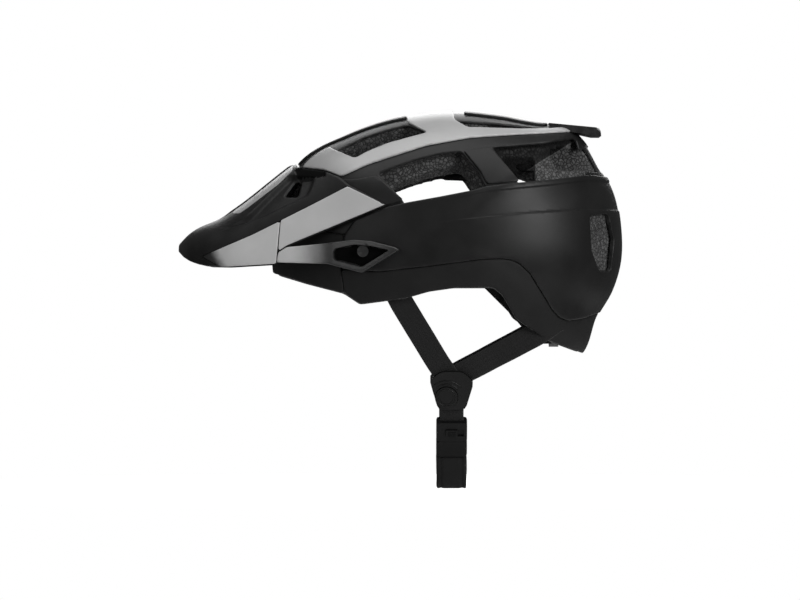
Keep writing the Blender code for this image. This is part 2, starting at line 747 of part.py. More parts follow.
def front_strap_shape(side, grow=0.0):
    """Webbing from the front of the ear arch down to the splitter."""
    top, rim = FRONT_ANCHOR
    out = strap_depth(rim)
    mouth = splitter_point(FRONT_ENTRY - 0.0035, SPLITTER_HEIGHT / 2 + 0.0050, 0, side)
    end = splitter_point(FRONT_ENTRY + 0.0060, SPLITTER_HEIGHT / 2 - 0.0100, 0, side)
    path = [(top[0], side * out, top[1]), (rim[0], side * out, rim[1]), mouth, end]
    flat = Vector((0, side, 0))
    return faced_ribbon(path, [flat, flat, splitter_out(side), splitter_out(side)], grow)


def rear_strap_shape(side, grow=0.0):
    """Webbing from the rear of the ear arch down to the splitter."""
    top, rim = REAR_ANCHOR
    out = strap_depth(rim) - 0.0040
    mouth = splitter_point(REAR_ENTRY + 0.0060, SPLITTER_HEIGHT / 2 + 0.0010, 0, side)
    end = splitter_point(REAR_ENTRY - 0.0060, SPLITTER_HEIGHT / 2 - 0.0060, 0, side)
    path = [(top[0], side * (out - 0.0050), top[1]), (rim[0], side * out, rim[1]), mouth, end]
    flat = Vector((0.3, side, 0))
    return faced_ribbon(path, [flat, flat, splitter_out(side), splitter_out(side)], grow)


def strap_slots(side):
    return [front_strap_shape(side, RUNNING_GAP), rear_strap_shape(side, RUNNING_GAP)]


def front_strap(side, label):
    body = trimmed_at_splitter(front_strap_shape(side), side)
    return finish(body, f"front_strap_{label}", NYLON)


def rear_strap(side, label):
    body = cut(rear_strap_shape(side), front_strap_shape(side, 0.0005))
    return finish(trimmed_at_splitter(body, side), f"rear_strap_{label}", NYLON)


def splitter_slab(side, bottom, top, width, low, high):
    corners = [(-width / 2, bottom), (width / 2, bottom), (width / 2, top), (-width / 2, top)]
    return loft([[tuple(splitter_point(u, v, w, side)) for u, v in corners] for w in (low, high)])


def trimmed_at_splitter(body, side):
    """Ends the webbing just inside the splitter's mouth."""
    mouth = SPLITTER_HEIGHT / 2 - MOUTH_DEPTH
    return cut(body, splitter_slab(side, -0.08, mouth + RUNNING_GAP, 0.2, -0.03, 0.03))


MOUTH_DEPTH = 0.0060
CAM_PLACE = (-0.0045, -0.0058)


def splitter_body(side, label):
    """Strap splitter: a shield-shaped plate with mouths above and below."""
    half, top = SPLITTER_WIDTH / 2, SPLITTER_HEIGHT / 2
    outline = softened([(-half, top * 0.55), (-half * 0.5, top), (half * 0.5, top), (half, top * 0.45),
                        (half * 0.62, -top), (-half * 0.62, -top)], 0.004)
    thick = SPLITTER_THICKNESS / 2
    body = loft([[tuple(splitter_point(u, v, w, side)) for u, v in outline] for w in (-thick, thick)])
    mouth = STRAP_THICKNESS / 2 + RUNNING_GAP
    cut(body, splitter_slab(side, top - MOUTH_DEPTH, top + 0.02, 0.1, -mouth, mouth))
    cut(body, splitter_slab(side, -top - 0.02, MOUTH_DEPTH - top, STRAP_WIDTH + 2 * RUNNING_GAP, -mouth, mouth))
    pocket = circle(CAM_PLACE, CAM_RADIUS + 0.0005, 20)
    floor = thick - CAM_THICKNESS + 0.0012
    cut(body, loft([[tuple(splitter_point(u, v, w, side)) for u, v in pocket] for w in (floor, thick + 0.01)]))
    return finish(body, f"splitter_body_{label}", BLACK)


def splitter_cam(side, label):
    """Round locking button that flips up about its upper edge."""
    thick = SPLITTER_THICKNESS / 2
    floor = thick - CAM_THICKNESS + 0.0012 + RUNNING_GAP
    ring = circle(CAM_PLACE, CAM_RADIUS, 20)
    body = loft([[tuple(splitter_point(u, v, w, side)) for u, v in ring] for w in (floor, thick + 0.0012)])
    grip = circle(CAM_PLACE, CAM_RADIUS * 0.62, 16)
    cut(body, loft([[tuple(splitter_point(u, v, w, side)) for u, v in grip] for w in (thick + 0.0006, thick + 0.01)]))
    hinge = splitter_point(CAM_PLACE[0], CAM_PLACE[1] + CAM_RADIUS, thick + 0.0012, side)
    return finish(body, f"splitter_cam_{label}", SATIN, origin=hinge)


# Chin strap: it runs in a plane across the helmet, so its route is (y, z)
CHIN_X = SPLITTER_PLACE[0]
CHIN_BOTTOM = grade([(0, -279.5)])[0][1]
CHIN_BEND = 0.0140


def chin_top(side):
    top = splitter_point(0, MOUTH_DEPTH - SPLITTER_HEIGHT / 2 - RUNNING_GAP, 0, side)
    return Vector((top.y, top.z))


def chin_route(side):
    """From the splitter to the middle of the chin, as (y, z)."""
    top = chin_top(side)
    knee = Vector((side * CHIN_BEND, CHIN_BOTTOM + 0.0100))
    out = splitter_point(0, -SPLITTER_HEIGHT / 2 - 0.0020, 0, side)
    below = Vector((out.y, out.z))
    arc = []
    for k in range(1, 4):
        t = k / 4
        corner = Vector((side * 0.0060, CHIN_BOTTOM))
        end = Vector((0, CHIN_BOTTOM))
        arc.append(knee * (1 - t) ** 2 + corner * 2 * t * (1 - t) + end * t * t)
    return [top, below, knee] + arc + [Vector((0, CHIN_BOTTOM))]


def along_chin(route, distance):
    """Place and direction at a distance down the route."""
    for a, b in zip(route, route[1:]):
        length = (b - a).length
        if distance <= length:
            return a + (b - a) * (distance / length), (b - a).normalized()
        distance -= length
    return route[-1], (route[-1] - route[-2]).normalized()


BUCKLE_START = 0.0180


def buckle_point(u, v, w):
    """A place on the buckle: along X, down the strap from its top, and out."""
    place, along = along_chin(chin_route(-1), BUCKLE_START)
    outward = Vector((-along.y, along.x)) * (1 if along.y > 0 else -1)
    here = place + along * v + outward * (w if outward.x < 0 else -w)
    return Vector((CHIN_X + u, here.x, here.y))


def buckle_slab(outline, low, high):
    return loft([[tuple(buckle_point(u, v, w)) for u, v in outline] for w in (low, high)])


def slab_outline(width, start, end, corner):
    half = width / 2
    return softened([(-half, start), (half, start), (half, end), (-half, end)], corner)


BUCKLE_LENGTH = BUCKLE_BASE_LENGTH + BUCKLE_PLUG_LENGTH + RUNNING_GAP
TONGUE_LENGTH = 0.0080
TONGUE_WIDTH = 0.0140
TONGUE_THICKNESS = 0.0040
SLIDER_TRAVEL = 0.0050


def strap_mouth(start, end):
    gap = STRAP_THICKNESS / 2 + RUNNING_GAP
    return buckle_slab(slab_outline(STRAP_WIDTH + 2 * RUNNING_GAP, start, end, 0.0002), -gap, gap)


def buckle_base():
    """Upper half of the buckle, with the tongue's socket and the slider's slot."""
    half = BUCKLE_THICKNESS / 2
    body = buckle_slab(slab_outline(BUCKLE_WIDTH, 0, BUCKLE_BASE_LENGTH, 0.003), -half, half)
    cut(body, strap_mouth(-0.01, MOUTH_DEPTH))
    gap = RUNNING_GAP
    socket = slab_outline(TONGUE_WIDTH + 2 * gap, BUCKLE_BASE_LENGTH - TONGUE_LENGTH - gap, BUCKLE_LENGTH, 0.0002)
    cut(body, buckle_slab(socket, -TONGUE_THICKNESS / 2 - gap, TONGUE_THICKNESS / 2 + gap))
    slot = slab_outline(SLIDER_WIDTH + SLIDER_TRAVEL + 2 * gap, 0.0070 - gap, 0.0140 + gap, 0.0002)
    shifted = [(u + SLIDER_TRAVEL / 2, v) for u, v in slot]
    cut(body, buckle_slab(shifted, half - 0.0016, half + 0.01))
    return finish(body, "buckle_base", BLACK)


SLIDER_WIDTH = 0.0100


def buckle_slider():
    """Release slider in the face of the buckle."""
    half = BUCKLE_THICKNESS / 2
    low = half - 0.0016 + RUNNING_GAP
    body = buckle_slab(slab_outline(SLIDER_WIDTH, 0.0070, 0.0140, 0.0008), low, half + 0.0012)
    for k in range(3):
        start = 0.0083 + 0.0020 * k
        cut(body, buckle_slab(slab_outline(SLIDER_WIDTH * 0.7, start, start + 0.0008, 0.0001), half + 0.0006, half + 0.01))
    return finish(body, "buckle_slider", GREY, origin=buckle_point(0, 0.0105, half))


def buckle_plug():
    """Lower half of the buckle, with the tongue that enters the base."""
    half = BUCKLE_THICKNESS / 2
    start = BUCKLE_BASE_LENGTH + RUNNING_GAP
    body = buckle_slab(slab_outline(BUCKLE_WIDTH, start, BUCKLE_LENGTH, 0.003), -half, half)
    tongue = slab_outline(TONGUE_WIDTH, BUCKLE_BASE_LENGTH - TONGUE_LENGTH, start + 0.003, 0.0010)
    join(body, buckle_slab(tongue, -TONGUE_THICKNESS / 2, TONGUE_THICKNESS / 2))
    cut(body, strap_mouth(BUCKLE_LENGTH - MOUTH_DEPTH, BUCKLE_LENGTH + 0.01))
    return finish(body, "buckle_plug", BLACK)


def chin_ribbon(route, width, thickness, grow=0.0):
    path = [(CHIN_X, p.x, p.y) for p in route]
    return ribbon(path, [Vector((1, 0, 0))] * len(path), width, thickness, grow)


def lower_strap_left():
    """Short webbing from the left splitter to the buckle."""
    route = chin_route(-1)
    end, _ = along_chin(route, BUCKLE_START + MOUTH_DEPTH - RUNNING_GAP)
    body = chin_ribbon([route[0], route[1], end], STRAP_WIDTH, STRAP_THICKNESS)
    return finish(body, "lower_strap_left", NYLON)


def chin_strap_route():
    left, right = chin_route(-1), chin_route(1)
    start, _ = along_chin(left, BUCKLE_START + BUCKLE_LENGTH - MOUTH_DEPTH + RUNNING_GAP)
    return [start] + left[2:] + right[-2::-1]


def chin_strap():
    """Webbing from the buckle under the chin and up to the right splitter."""
    return finish(chin_ribbon(chin_strap_route(), STRAP_WIDTH, STRAP_THICKNESS), "chin_strap", NYLON)


def chin_pad():
    """Soft sleeve round the chin strap."""
    left, right = chin_route(-1), chin_route(1)
    start, _ = along_chin(left, BUCKLE_START + BUCKLE_LENGTH + 0.0010)
    end, _ = along_chin(right, BUCKLE_START + BUCKLE_LENGTH + 0.0010)
    knee = left[2].lerp(start, 0.02)
    route = [start] + ([] if (knee - start).length < 0.002 else [left[2]]) + left[3:] + right[-2:1:-1] + [end]
    grow = CHIN_PAD_WALL + 0.0005
    body = chin_ribbon(route, STRAP_WIDTH, STRAP_THICKNESS, grow)
    cut(body, chin_ribbon(chin_strap_route(), STRAP_WIDTH, STRAP_THICKNESS, 0.0005))
    return finish(body, "chin_pad", CLOTH)


def strap_keeper():
    """Rubber ring on the right side of the chin strap."""
    route = chin_route(1)
    start, _ = along_chin(route, 0.030)
    end, _ = along_chin(route, 0.036)
    body = chin_ribbon([start, end], STRAP_WIDTH, STRAP_THICKNESS, 0.0022)
    cut(body, chin_ribbon(chin_strap_route(), STRAP_WIDTH, STRAP_THICKNESS, RUNNING_GAP))
    return finish(body, "strap_keeper", MATTE)


# Visor


def visor_section(x_mm):
    """Half width, edge height and top height of the visor at a station, in metres."""
    width = smooth_table(VISOR_HALF_WIDTH, x_mm) * GRADE_Y
    top = smooth_table(VISOR_TOP, x_mm) * GRADE_Z
    return width, VISOR_EDGE * GRADE_Z, top


def visor_surface(x_mm, turn):
    """A point of the visor's outer surface: turn runs from 0 at the left to pi."""
    width, edge, top = visor_section(x_mm)
    power = 2 / VISOR_ROUNDNESS
    c, s = math.cos(turn), math.sin(turn)
    y = -math.copysign(abs(c) ** power, c) * width
    return Vector((x_mm * GRADE_X, y, edge + abs(s) ** power * (top - edge)))


VISOR_STATIONS = [-230.5, -227.0, -219.0, -206.0, -188.0, -166.0, -144.0, -122.0, -102.0, -86.0, -73.0, -60.0, -38.0]
VISOR_STEPS = 18


def visor_normal(x_mm, turn):
    step = 0.5
    a = visor_surface(min(x_mm + step, -38.0), turn) - visor_surface(max(x_mm - step, -230.5), turn)
    b = visor_surface(x_mm, min(turn + 0.01, math.pi)) - visor_surface(x_mm, max(turn - 0.01, 0))
    return a.cross(b).normalized() * -1


def visor_sheet(depth):
    """Rows of points on the visor's surface, sunk by depth, with straight skirts."""
    rows = []
    for x in VISOR_STATIONS:
        row = []
        for k in range(VISOR_STEPS + 1):
            turn = math.pi * k / VISOR_STEPS
            here = visor_surface(x, turn)
            normal = visor_normal(x, turn)
            if normal.dot(here - Vector((here.x, 0, here.z - 0.03))) < 0:
                normal = -normal
            row.append(here - normal * depth)
        drop = Vector((0, 0, -VISOR_SKIRT * GRADE_Z))
        rows.append([row[0] + drop] + row + [row[-1] + drop])
    return rows


def visor_layer(outer, inner):
    """Closed slab between two depths below the visor's surface."""
    top, bottom = visor_sheet(outer), visor_sheet(inner)
    rows, columns = len(top), len(top[0])
    points = [p for row in top for p in row] + [p for row in bottom for p in row]
    shift = rows * columns
    faces = []
    for r in range(rows - 1):
        for c in range(columns - 1):
            quad = [r * columns + c, r * columns + c + 1, (r + 1) * columns + c + 1, (r + 1) * columns + c]
            faces.append(quad)
            faces.append([shift + i for i in quad[::-1]])
    for r in range(rows - 1):
        for c in (0, columns - 1):
            faces.append([r * columns + c, (r + 1) * columns + c, shift + (r + 1) * columns + c, shift + r * columns + c])
    for c in range(columns - 1):
        for r in (0, rows - 1):
            faces.append([r * columns + c, r * columns + c + 1, shift + r * columns + c + 1, shift + r * columns + c])
    return new_solid(points, faces)


def offset_outline(points, amount):
    """The outline moved outward along its own normals."""
    area = sum(a[0] * b[1] - b[0] * a[1] for a, b in zip(points, points[1:] + points[:1]))
    turn = 1 if area > 0 else -1
    result = []
    count = len(points)
    for i in range(count):
        here = Vector(points[i])
        before = (here - Vector(points[i - 1])).normalized()
        after = (Vector(points[(i + 1) % count]) - here).normalized()
        n0 = Vector((before.y, -before.x)) * turn
        n1 = Vector((after.y, -after.x)) * turn
        mean = (n0 + n1).normalized()
        reach = amount / max(mean.dot(n1), 0.35)
        result.append(tuple(here + mean * reach))
    return result


def grey_regions():
    return [grade(SIDE_PANEL), grade(REAR_PANEL)]


def visor_body():
    """Arched peak with its channels, vents and the seats for the light panels."""
    body = keep(visor_layer(0.0, VISOR_WALL), side_prism(grade(VISOR_OUTLINE)))
    for region in grey_regions():
        tool = side_prism(offset_outline(region, RUNNING_GAP))
        cut(body, keep(visor_layer(-0.004, VISOR_RECESS), tool))
    insert = side_prism(offset_outline(grade(CENTRE_INSERT), RUNNING_GAP))
    outer = plan_prism([(-0.3, -0.05), (0, -0.05), (0, 0.05), (-0.3, 0.05)], -0.2, 0.1)
    spine = plan_prism(spine_outline(-RUNNING_GAP), -0.2, 0.1)
    cut(body, cut(keep(visor_layer(-0.004, VISOR_RECESS), insert, outer), spine))
    channel = side_prism(softened(grade(VISOR_CHANNEL), 0.004))
    cut(body, keep(visor_layer(-0.004, VISOR_RECESS * 0.8), channel))
    vent = softened(grade(VISOR_VENT), 0.002)
    cut(body, side_prism(vent, -0.2, -0.02), side_prism(vent, 0.02, 0.2))
    cut(body, dome(-VISOR_CLEARANCE))
    for _, side in SIDES:
        cut(body, side_prism(offset_outline(grade(ARM), RUNNING_GAP * 2), *sorted((side * 0.02, side * 0.2))))
    return body


def spine_outline(grow):
    """Plan outline of the dark spine down the middle of the peak."""
    half = SPINE_HALF_WIDTH + grow
    return [(-0.3, -half * 0.6), (-0.12, -half), (-0.12, half), (-0.3, half * 0.6)]


def centre_insert():
    """Light insert on each flank of the spine, joined in front of it."""
    insert = side_prism(grade(CENTRE_INSERT))
    outer = plan_prism([(-0.3, -0.049), (0, -0.049), (0, 0.049), (-0.3, 0.049)], -0.2, 0.1)
    return keep(visor_layer(0.0, VISOR_RECESS - SEAM_GAP), insert, outer)


def light_panel(outline, side):
    """Light plate let into the flank of the peak."""
    body = keep(visor_layer(0.0, VISOR_RECESS - SEAM_GAP), side_prism(grade(outline)))
    return cut(one_side(body, side), dome(-VISOR_CLEARANCE))


def screw_seat():
    """Distance from the centre plane of the face that the screw head sits on."""
    width, _, _ = visor_section(PIVOT[0])
    return width - 0.0018


def visor_arm(side):
    """Arm from the peak's corner to the mount pod, with the pod's cavity."""
    arm = keep(visor_layer(0.0, VISOR_WALL), side_prism(grade(ARM)))
    pod = keep(visor_layer(-POD_PROUD, VISOR_WALL), side_prism(softened(grade(POD), 0.002)))
    body = one_side(join(arm, pod), side)
    seat = screw_seat()
    join(body, pivot_column(BOSS_RADIUS, seat - BOSS_FLOOR, seat + 0.0030, side, 24))
    cavity = side_prism(softened(grade(POD_CAVITY), 0.002), *sorted((side * seat, side * 0.2)))
    cut(body, cavity)
    cut(body, dome(-VISOR_CLEARANCE))
    return cut(body, pivot_column(SCREW_SHANK + RUNNING_GAP, 0.05, 0.2, side))


def visor_parts():
    x, z = pivot_place()
    hinge = axis_empty("visor_axis", (x, 0, z))
    body = visor_body()
    finish(body, "visor_body", BLACK, hinge, (x, 0, z))
    for label, side in SIDES:
        finish(light_panel(SIDE_PANEL, side), f"visor_side_panel_{label}", GREY, hinge, (x, 0, z))
        finish(light_panel(REAR_PANEL, side), f"visor_rear_panel_{label}", GREY, hinge, (x, 0, z))
        finish(visor_arm(side), f"visor_arm_{label}", SATIN, hinge, (x, 0, z))
        insert = one_side(cut(centre_insert(), plan_prism(spine_outline(0.0), -0.2, 0.1)), side)
        finish(insert, f"visor_centre_insert_{label}", GREY, hinge, (x, 0, z))


def pivot_screw(side, label):
    """Screw that clamps the arm, with a slotted head."""
    seat = screw_seat() + RUNNING_GAP
    body = pivot_column(SCREW_HEAD, seat, seat + SCREW_HEAD_HEIGHT, side, 24)
    join(body, pivot_column(SCREW_SHANK, seat - SCREW_LENGTH, seat + 0.001, side, 16))
    x, z = pivot_place()
    slot = [(x - 0.02, z - SCREW_SLOT / 2), (x + 0.02, z - SCREW_SLOT / 2), (x + 0.02, z + SCREW_SLOT / 2),
            (x - 0.02, z + SCREW_SLOT / 2)]
    top = seat + SCREW_HEAD_HEIGHT
    cut(body, side_prism(slot, *sorted((side * (top - 0.0010), side * (top + 0.01)))))
    return finish(body, f"pivot_screw_{label}", STEEL, origin=(x, side * seat, z))


def pivot_bush(side, label):
    """Threaded bush set in the foam behind the belt."""
    face = bush_outer_face()
    body = pivot_column(BUSH_RADIUS, face - BUSH_LENGTH, face, side, 18)
    cut(body, pivot_column(SCREW_SHANK + RUNNING_GAP, 0.03, 0.2, side))
    return finish(body, f"pivot_bush_{label}", STEEL)


# Fit system inside the rear
DIAL_PLACE = grade([(0, -148.0)])[0][1]
BAND_UPPER = [(-72.0, -84.0), (0.0, -92.0), (38.0, -101.0), (64.0, -124.0), (76.0, -135.0), (110.0, -135.0)]
BAND_LOWER = [(-78.0, -97.0), (0.0, -105.0), (30.0, -112.0), (54.0, -136.0), (74.0, -160.0), (110.0, -160.0)]


def rack_depth():
    """Where the racks lie: just inside the ends of the bands."""
    band = head_rear(HOUSING_WIDTH / 2 + RACK_REACH, DIAL_PLACE - HOUSING_HEIGHT / 2, BAND_INSET + BAND_THICKNESS)
    return band - RACK_THICKNESS / 2 - 2 * RUNNING_GAP


def housing_face():
    """The housing's rear face, facing the foam."""
    return rack_depth() + HOUSING_DEPTH / 2


def dial_pocket():
    """Room in the foam for the dial, its housing and their travel."""
    rear = housing_face() + DIAL_THICKNESS + 0.0040
    reach = DIAL_RADIUS + HEIGHT_TRAVEL + 0.003
    return box((0.02, -reach, DIAL_PLACE - 0.08), (rear, reach, DIAL_PLACE + reach))


def headband_arm(side, label):
    """Band from the temple to the rear, with a tall end behind the rack."""
    body = keep(head_layer(BAND_INSET, BAND_INSET + BAND_THICKNESS), side_prism(band_between(BAND_UPPER, BAND_LOWER)))
    start = HOUSING_WIDTH / 2 + RACK_REACH - RACK_TRAVEL - 0.0020
    cut(body, box((-0.2, -start, -0.3), (0.2, start, 0.1)))
    return finish(one_side(body, side), f"headband_arm_{label}", MATTE)


def temple_anchor(side, label):
    """Clip that holds the band in the foam at the temple."""
    x, z = grade([(-62.0, -91.0)])[0]
    half, tall = 0.009, 0.005
    outline = [(x - half, z - tall), (x + half, z - tall), (x + half, z + tall), (x - half, z + tall)]
    layer = head_layer(0.0003, BAND_INSET - RUNNING_GAP)
    body = one_side(keep(layer, side_prism(softened(outline, 0.002))), side)
    return finish(body, f"temple_anchor_{label}", MATTE)


def rack_level(side):
    return DIAL_PLACE + side * (PINION_RADIUS + RACK_HEIGHT / 2 + 0.0003)


def fit_rack(side, label, axis):
    """Toothed strip that the dial draws into the housing."""
    z = rack_level(side)
    x = rack_depth()
    inner, outer = -side * 0.0085, side * (HOUSING_WIDTH / 2 + RACK_REACH)
    low, high = sorted((inner, outer))
    body = box((x - RACK_THICKNESS / 2, low, z - RACK_HEIGHT / 2), (x + RACK_THICKNESS / 2, high, z + RACK_HEIGHT / 2))
    step = 0.0022
    edge = z - side * RACK_HEIGHT / 2
    for k in range(8):
        y = inner + side * (0.0010 + step * k)
        notch = box((x - 0.01, min(y, y + side * step / 2), edge - 0.0008), (x + 0.01, max(y, y + side * step / 2), edge + 0.0008))
        cut(body, notch)
    return finish(body, f"fit_rack_{label}", SATIN, axis)


def dial_housing(axis):
    """Box that carries the dial and lets the racks through."""
    rear = housing_face()
    half = HOUSING_WIDTH / 2
    outline = softened([(-half, DIAL_PLACE - HOUSING_HEIGHT / 2), (half, DIAL_PLACE - HOUSING_HEIGHT / 2),
                        (half, DIAL_PLACE + HOUSING_HEIGHT / 2), (-half, DIAL_PLACE + HOUSING_HEIGHT / 2)], 0.005)
    body = front_prism(outline, rear - HOUSING_DEPTH, rear)
    neck = [(-NECK_WIDTH / 2, DIAL_PLACE), (NECK_WIDTH / 2, DIAL_PLACE), (NECK_WIDTH / 2, cradle_foot() + NECK_LAP),
            (-NECK_WIDTH / 2, cradle_foot() + NECK_LAP)]
    join(body, front_prism(neck, rear - HOUSING_DEPTH, rear))
    x = rack_depth()
    deep, tall = RACK_THICKNESS / 2 + RUNNING_GAP, RACK_HEIGHT / 2 + RUNNING_GAP
    for side in (-1, 1):
        z = rack_level(side)
        cut(body, box((x - deep, -0.05, z - tall), (x + deep, 0.05, z + tall)))
    bore = circle((0, DIAL_PLACE), PINION_RADIUS + RUNNING_GAP, 20)
    cut(body, front_prism(bore, x - deep, rear + 0.01))
    return finish(body, "dial_housing", BLACK, axis)


def fit_dial(axis):
    """Ribbed dial with the pinion that drives both racks."""
    rear = housing_face() + RUNNING_GAP
    points = []
    for k in range(2 * DIAL_RIBS):
        radius = DIAL_RADIUS if k % 2 else DIAL_RADIUS * 0.93
        turn = math.pi * k / DIAL_RIBS
        points.append((radius * math.cos(turn), DIAL_PLACE + radius * math.sin(turn)))
    body = front_prism(points, rear, rear + DIAL_THICKNESS)
    x = rack_depth() - RACK_THICKNESS / 2
    join(body, front_prism(circle((0, DIAL_PLACE), PINION_RADIUS, 18), x, rear + 0.001))
    cut(body, front_prism(circle((0, DIAL_PLACE), DIAL_RADIUS * 0.66, 24), rear + DIAL_THICKNESS - 0.0012, rear + 0.02))
    return finish(body, "fit_dial", GREY, axis, (rear, 0, DIAL_PLACE))


def cradle_foot():
    """Lower end of the cradle, just above the dial."""
    return DIAL_PLACE + DIAL_RADIUS + 0.0015


def cradle_insets():
    """The cradle lies between the rail and the housing's rear face."""
    outer = BAND_INSET + RAIL_THICKNESS + 2 * RUNNING_GAP
    level = cradle_foot()
    side_share = (head_rear(NECK_WIDTH / 2, level, outer) - HEAD_MIDDLE) / (HEAD_HALF_LENGTH - outer)
    inner = HEAD_HALF_LENGTH - (housing_face() + CRADLE_GAP - HEAD_MIDDLE) / side_share
    return outer, inner


def cradle_outline():
    """Front view of the occipital cradle: two lobes and a stem."""
    top = cradle_foot()
    return [(-0.008, top), (0.008, top), (0.012, top + 0.006), (0.036, top + 0.004), (0.040, top + 0.018),
            (0.022, top + 0.028), (0.006, top + 0.022), (0.006, top + 0.052), (-0.006, top + 0.052),
            (-0.006, top + 0.022), (-0.022, top + 0.028), (-0.040, top + 0.018), (-0.036, top + 0.004),
            (-0.012, top + 0.006)]


def occipital_cradle(axis):
    body = keep(head_layer(*cradle_insets()), front_prism(softened(cradle_outline(), 0.003), 0.0, 0.2))
    return finish(body, "occipital_cradle", BLACK, axis)


def height_rail():
    """Rail on the foam that the cradle's stem clips to."""
    top = cradle_foot() + 0.034
    outline = softened([(-RAIL_WIDTH / 2, top), (RAIL_WIDTH / 2, top), (RAIL_WIDTH / 2, top + RAIL_LENGTH),
                        (-RAIL_WIDTH / 2, top + RAIL_LENGTH)], 0.003)
    layer = head_layer(RUNNING_GAP, BAND_INSET + RAIL_THICKNESS)
    return finish(keep(layer, front_prism(outline, 0.0, 0.2)), "height_rail", MATTE)


# Pads


def pad_solid(prism, inset=0.0003, thickness=PAD_THICKNESS):
    return keep(head_layer(inset, inset + thickness), prism)


def brow_pad():
    half = HEAD_HALF_WIDTH * BROW_PAD_SHARE
    outline = softened([(-half, -0.096), (half, -0.096), (half, -0.072), (-half, -0.072)], 0.008, 3)
    return finish(pad_solid(front_prism(outline, -0.2, 0.0)), "brow_pad", CLOTH)


def crown_pad():
    """Pad under the crown; its flat underside is where the head touches."""
    outline = softened([(-0.028, -0.014), (0.030, -0.014), (0.030, 0.014), (-0.028, 0.014)], 0.008, 3)
    body = keep(head_form(0.0003), plan_prism(outline, CROWN_FACE, 0.05))
    return finish(body, "crown_pad", CLOTH)


def top_side_pad(side, label):
    outline = softened([(-0.050, side * 0.040), (0.040, side * 0.040), (0.034, side * 0.056), (-0.044, side * 0.056)],
                       0.006, 3)
    body = pad_solid(plan_prism(outline, HEAD_LEVEL, 0.05))
    return finish(body, f"top_side_pad_{label}", CLOTH)


def temple_pad(side, label):
    outline = softened(grade([(-58.0, -58.0), (-8.0, -58.0), (-8.0, -80.0), (-52.0, -78.0)]), 0.008, 3)
    return finish(one_side(pad_solid(side_prism(outline)), side), f"temple_pad_{label}", CLOTH)


def rear_pad(side, label, axis):
    """Pad on one lobe of the cradle."""
    top = cradle_foot()
    outline = softened([(side * 0.013, top + 0.009), (side * 0.034, top + 0.008), (side * 0.036, top + 0.017),
                        (side * 0.022, top + 0.024), (side * 0.013, top + 0.020)], 0.003)
    body = pad_solid(front_prism(outline, 0.0, 0.2), cradle_insets()[1] + RUNNING_GAP, 0.0045)
    return finish(body, f"rear_pad_{label}", CLOTH, axis)


def build():
    for obj in list(bpy.data.objects):
        bpy.data.objects.remove(obj)
    foam_liner()
    upper_frame()
    top_panel()
    spine_strip("spine_front", -0.092, -0.0365, 0.017, 0.024)
    spine_strip("spine_rear", 0.0125, 0.083, 0.024, 0.022)
    tail_spoiler()
    belt_panel()
    lower_wrap()
    brow_panel()
    visor_parts()
    height_rail()
    cradle = axis_empty("cradle_axis", (0, 0, DIAL_PLACE))
    occipital_cradle(cradle)
    dial_housing(cradle)
    fit_dial(cradle)
    brow_pad()
    crown_pad()
    lower_strap_left()
    chin_strap()
    chin_pad()
    strap_keeper()
    buckle_base()
    buckle_plug()
    buckle_slider()
    for label, side in SIDES:
        front_rib(side, label)
        slanted_rib(side, label)
        pivot_screw(side, label)
        pivot_bush(side, label)
        headband_arm(side, label)
        temple_anchor(side, label)
        fit_rack(side, label, cradle)
        rear_pad(side, label, cradle)
        temple_pad(side, label)
        top_side_pad(side, label)
        front_strap(side, label)
        rear_strap(side, label)
        splitter_body(side, label)
        splitter_cam(side, label)
    bpy.context.view_layer.update()


build()
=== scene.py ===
# %% [markdown]
# # A trail cycling helmet
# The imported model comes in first, as a fixed frame. Its solids carry the sizes and the
# moving bodies; this lesson builds the finely shaped outer pieces on them, gives each
# one a finish, and sets the light and the camera.

# %% Load the frame
import json
import math

import bpy
import numpy as np
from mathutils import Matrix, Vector
from mathutils.kdtree import KDTree

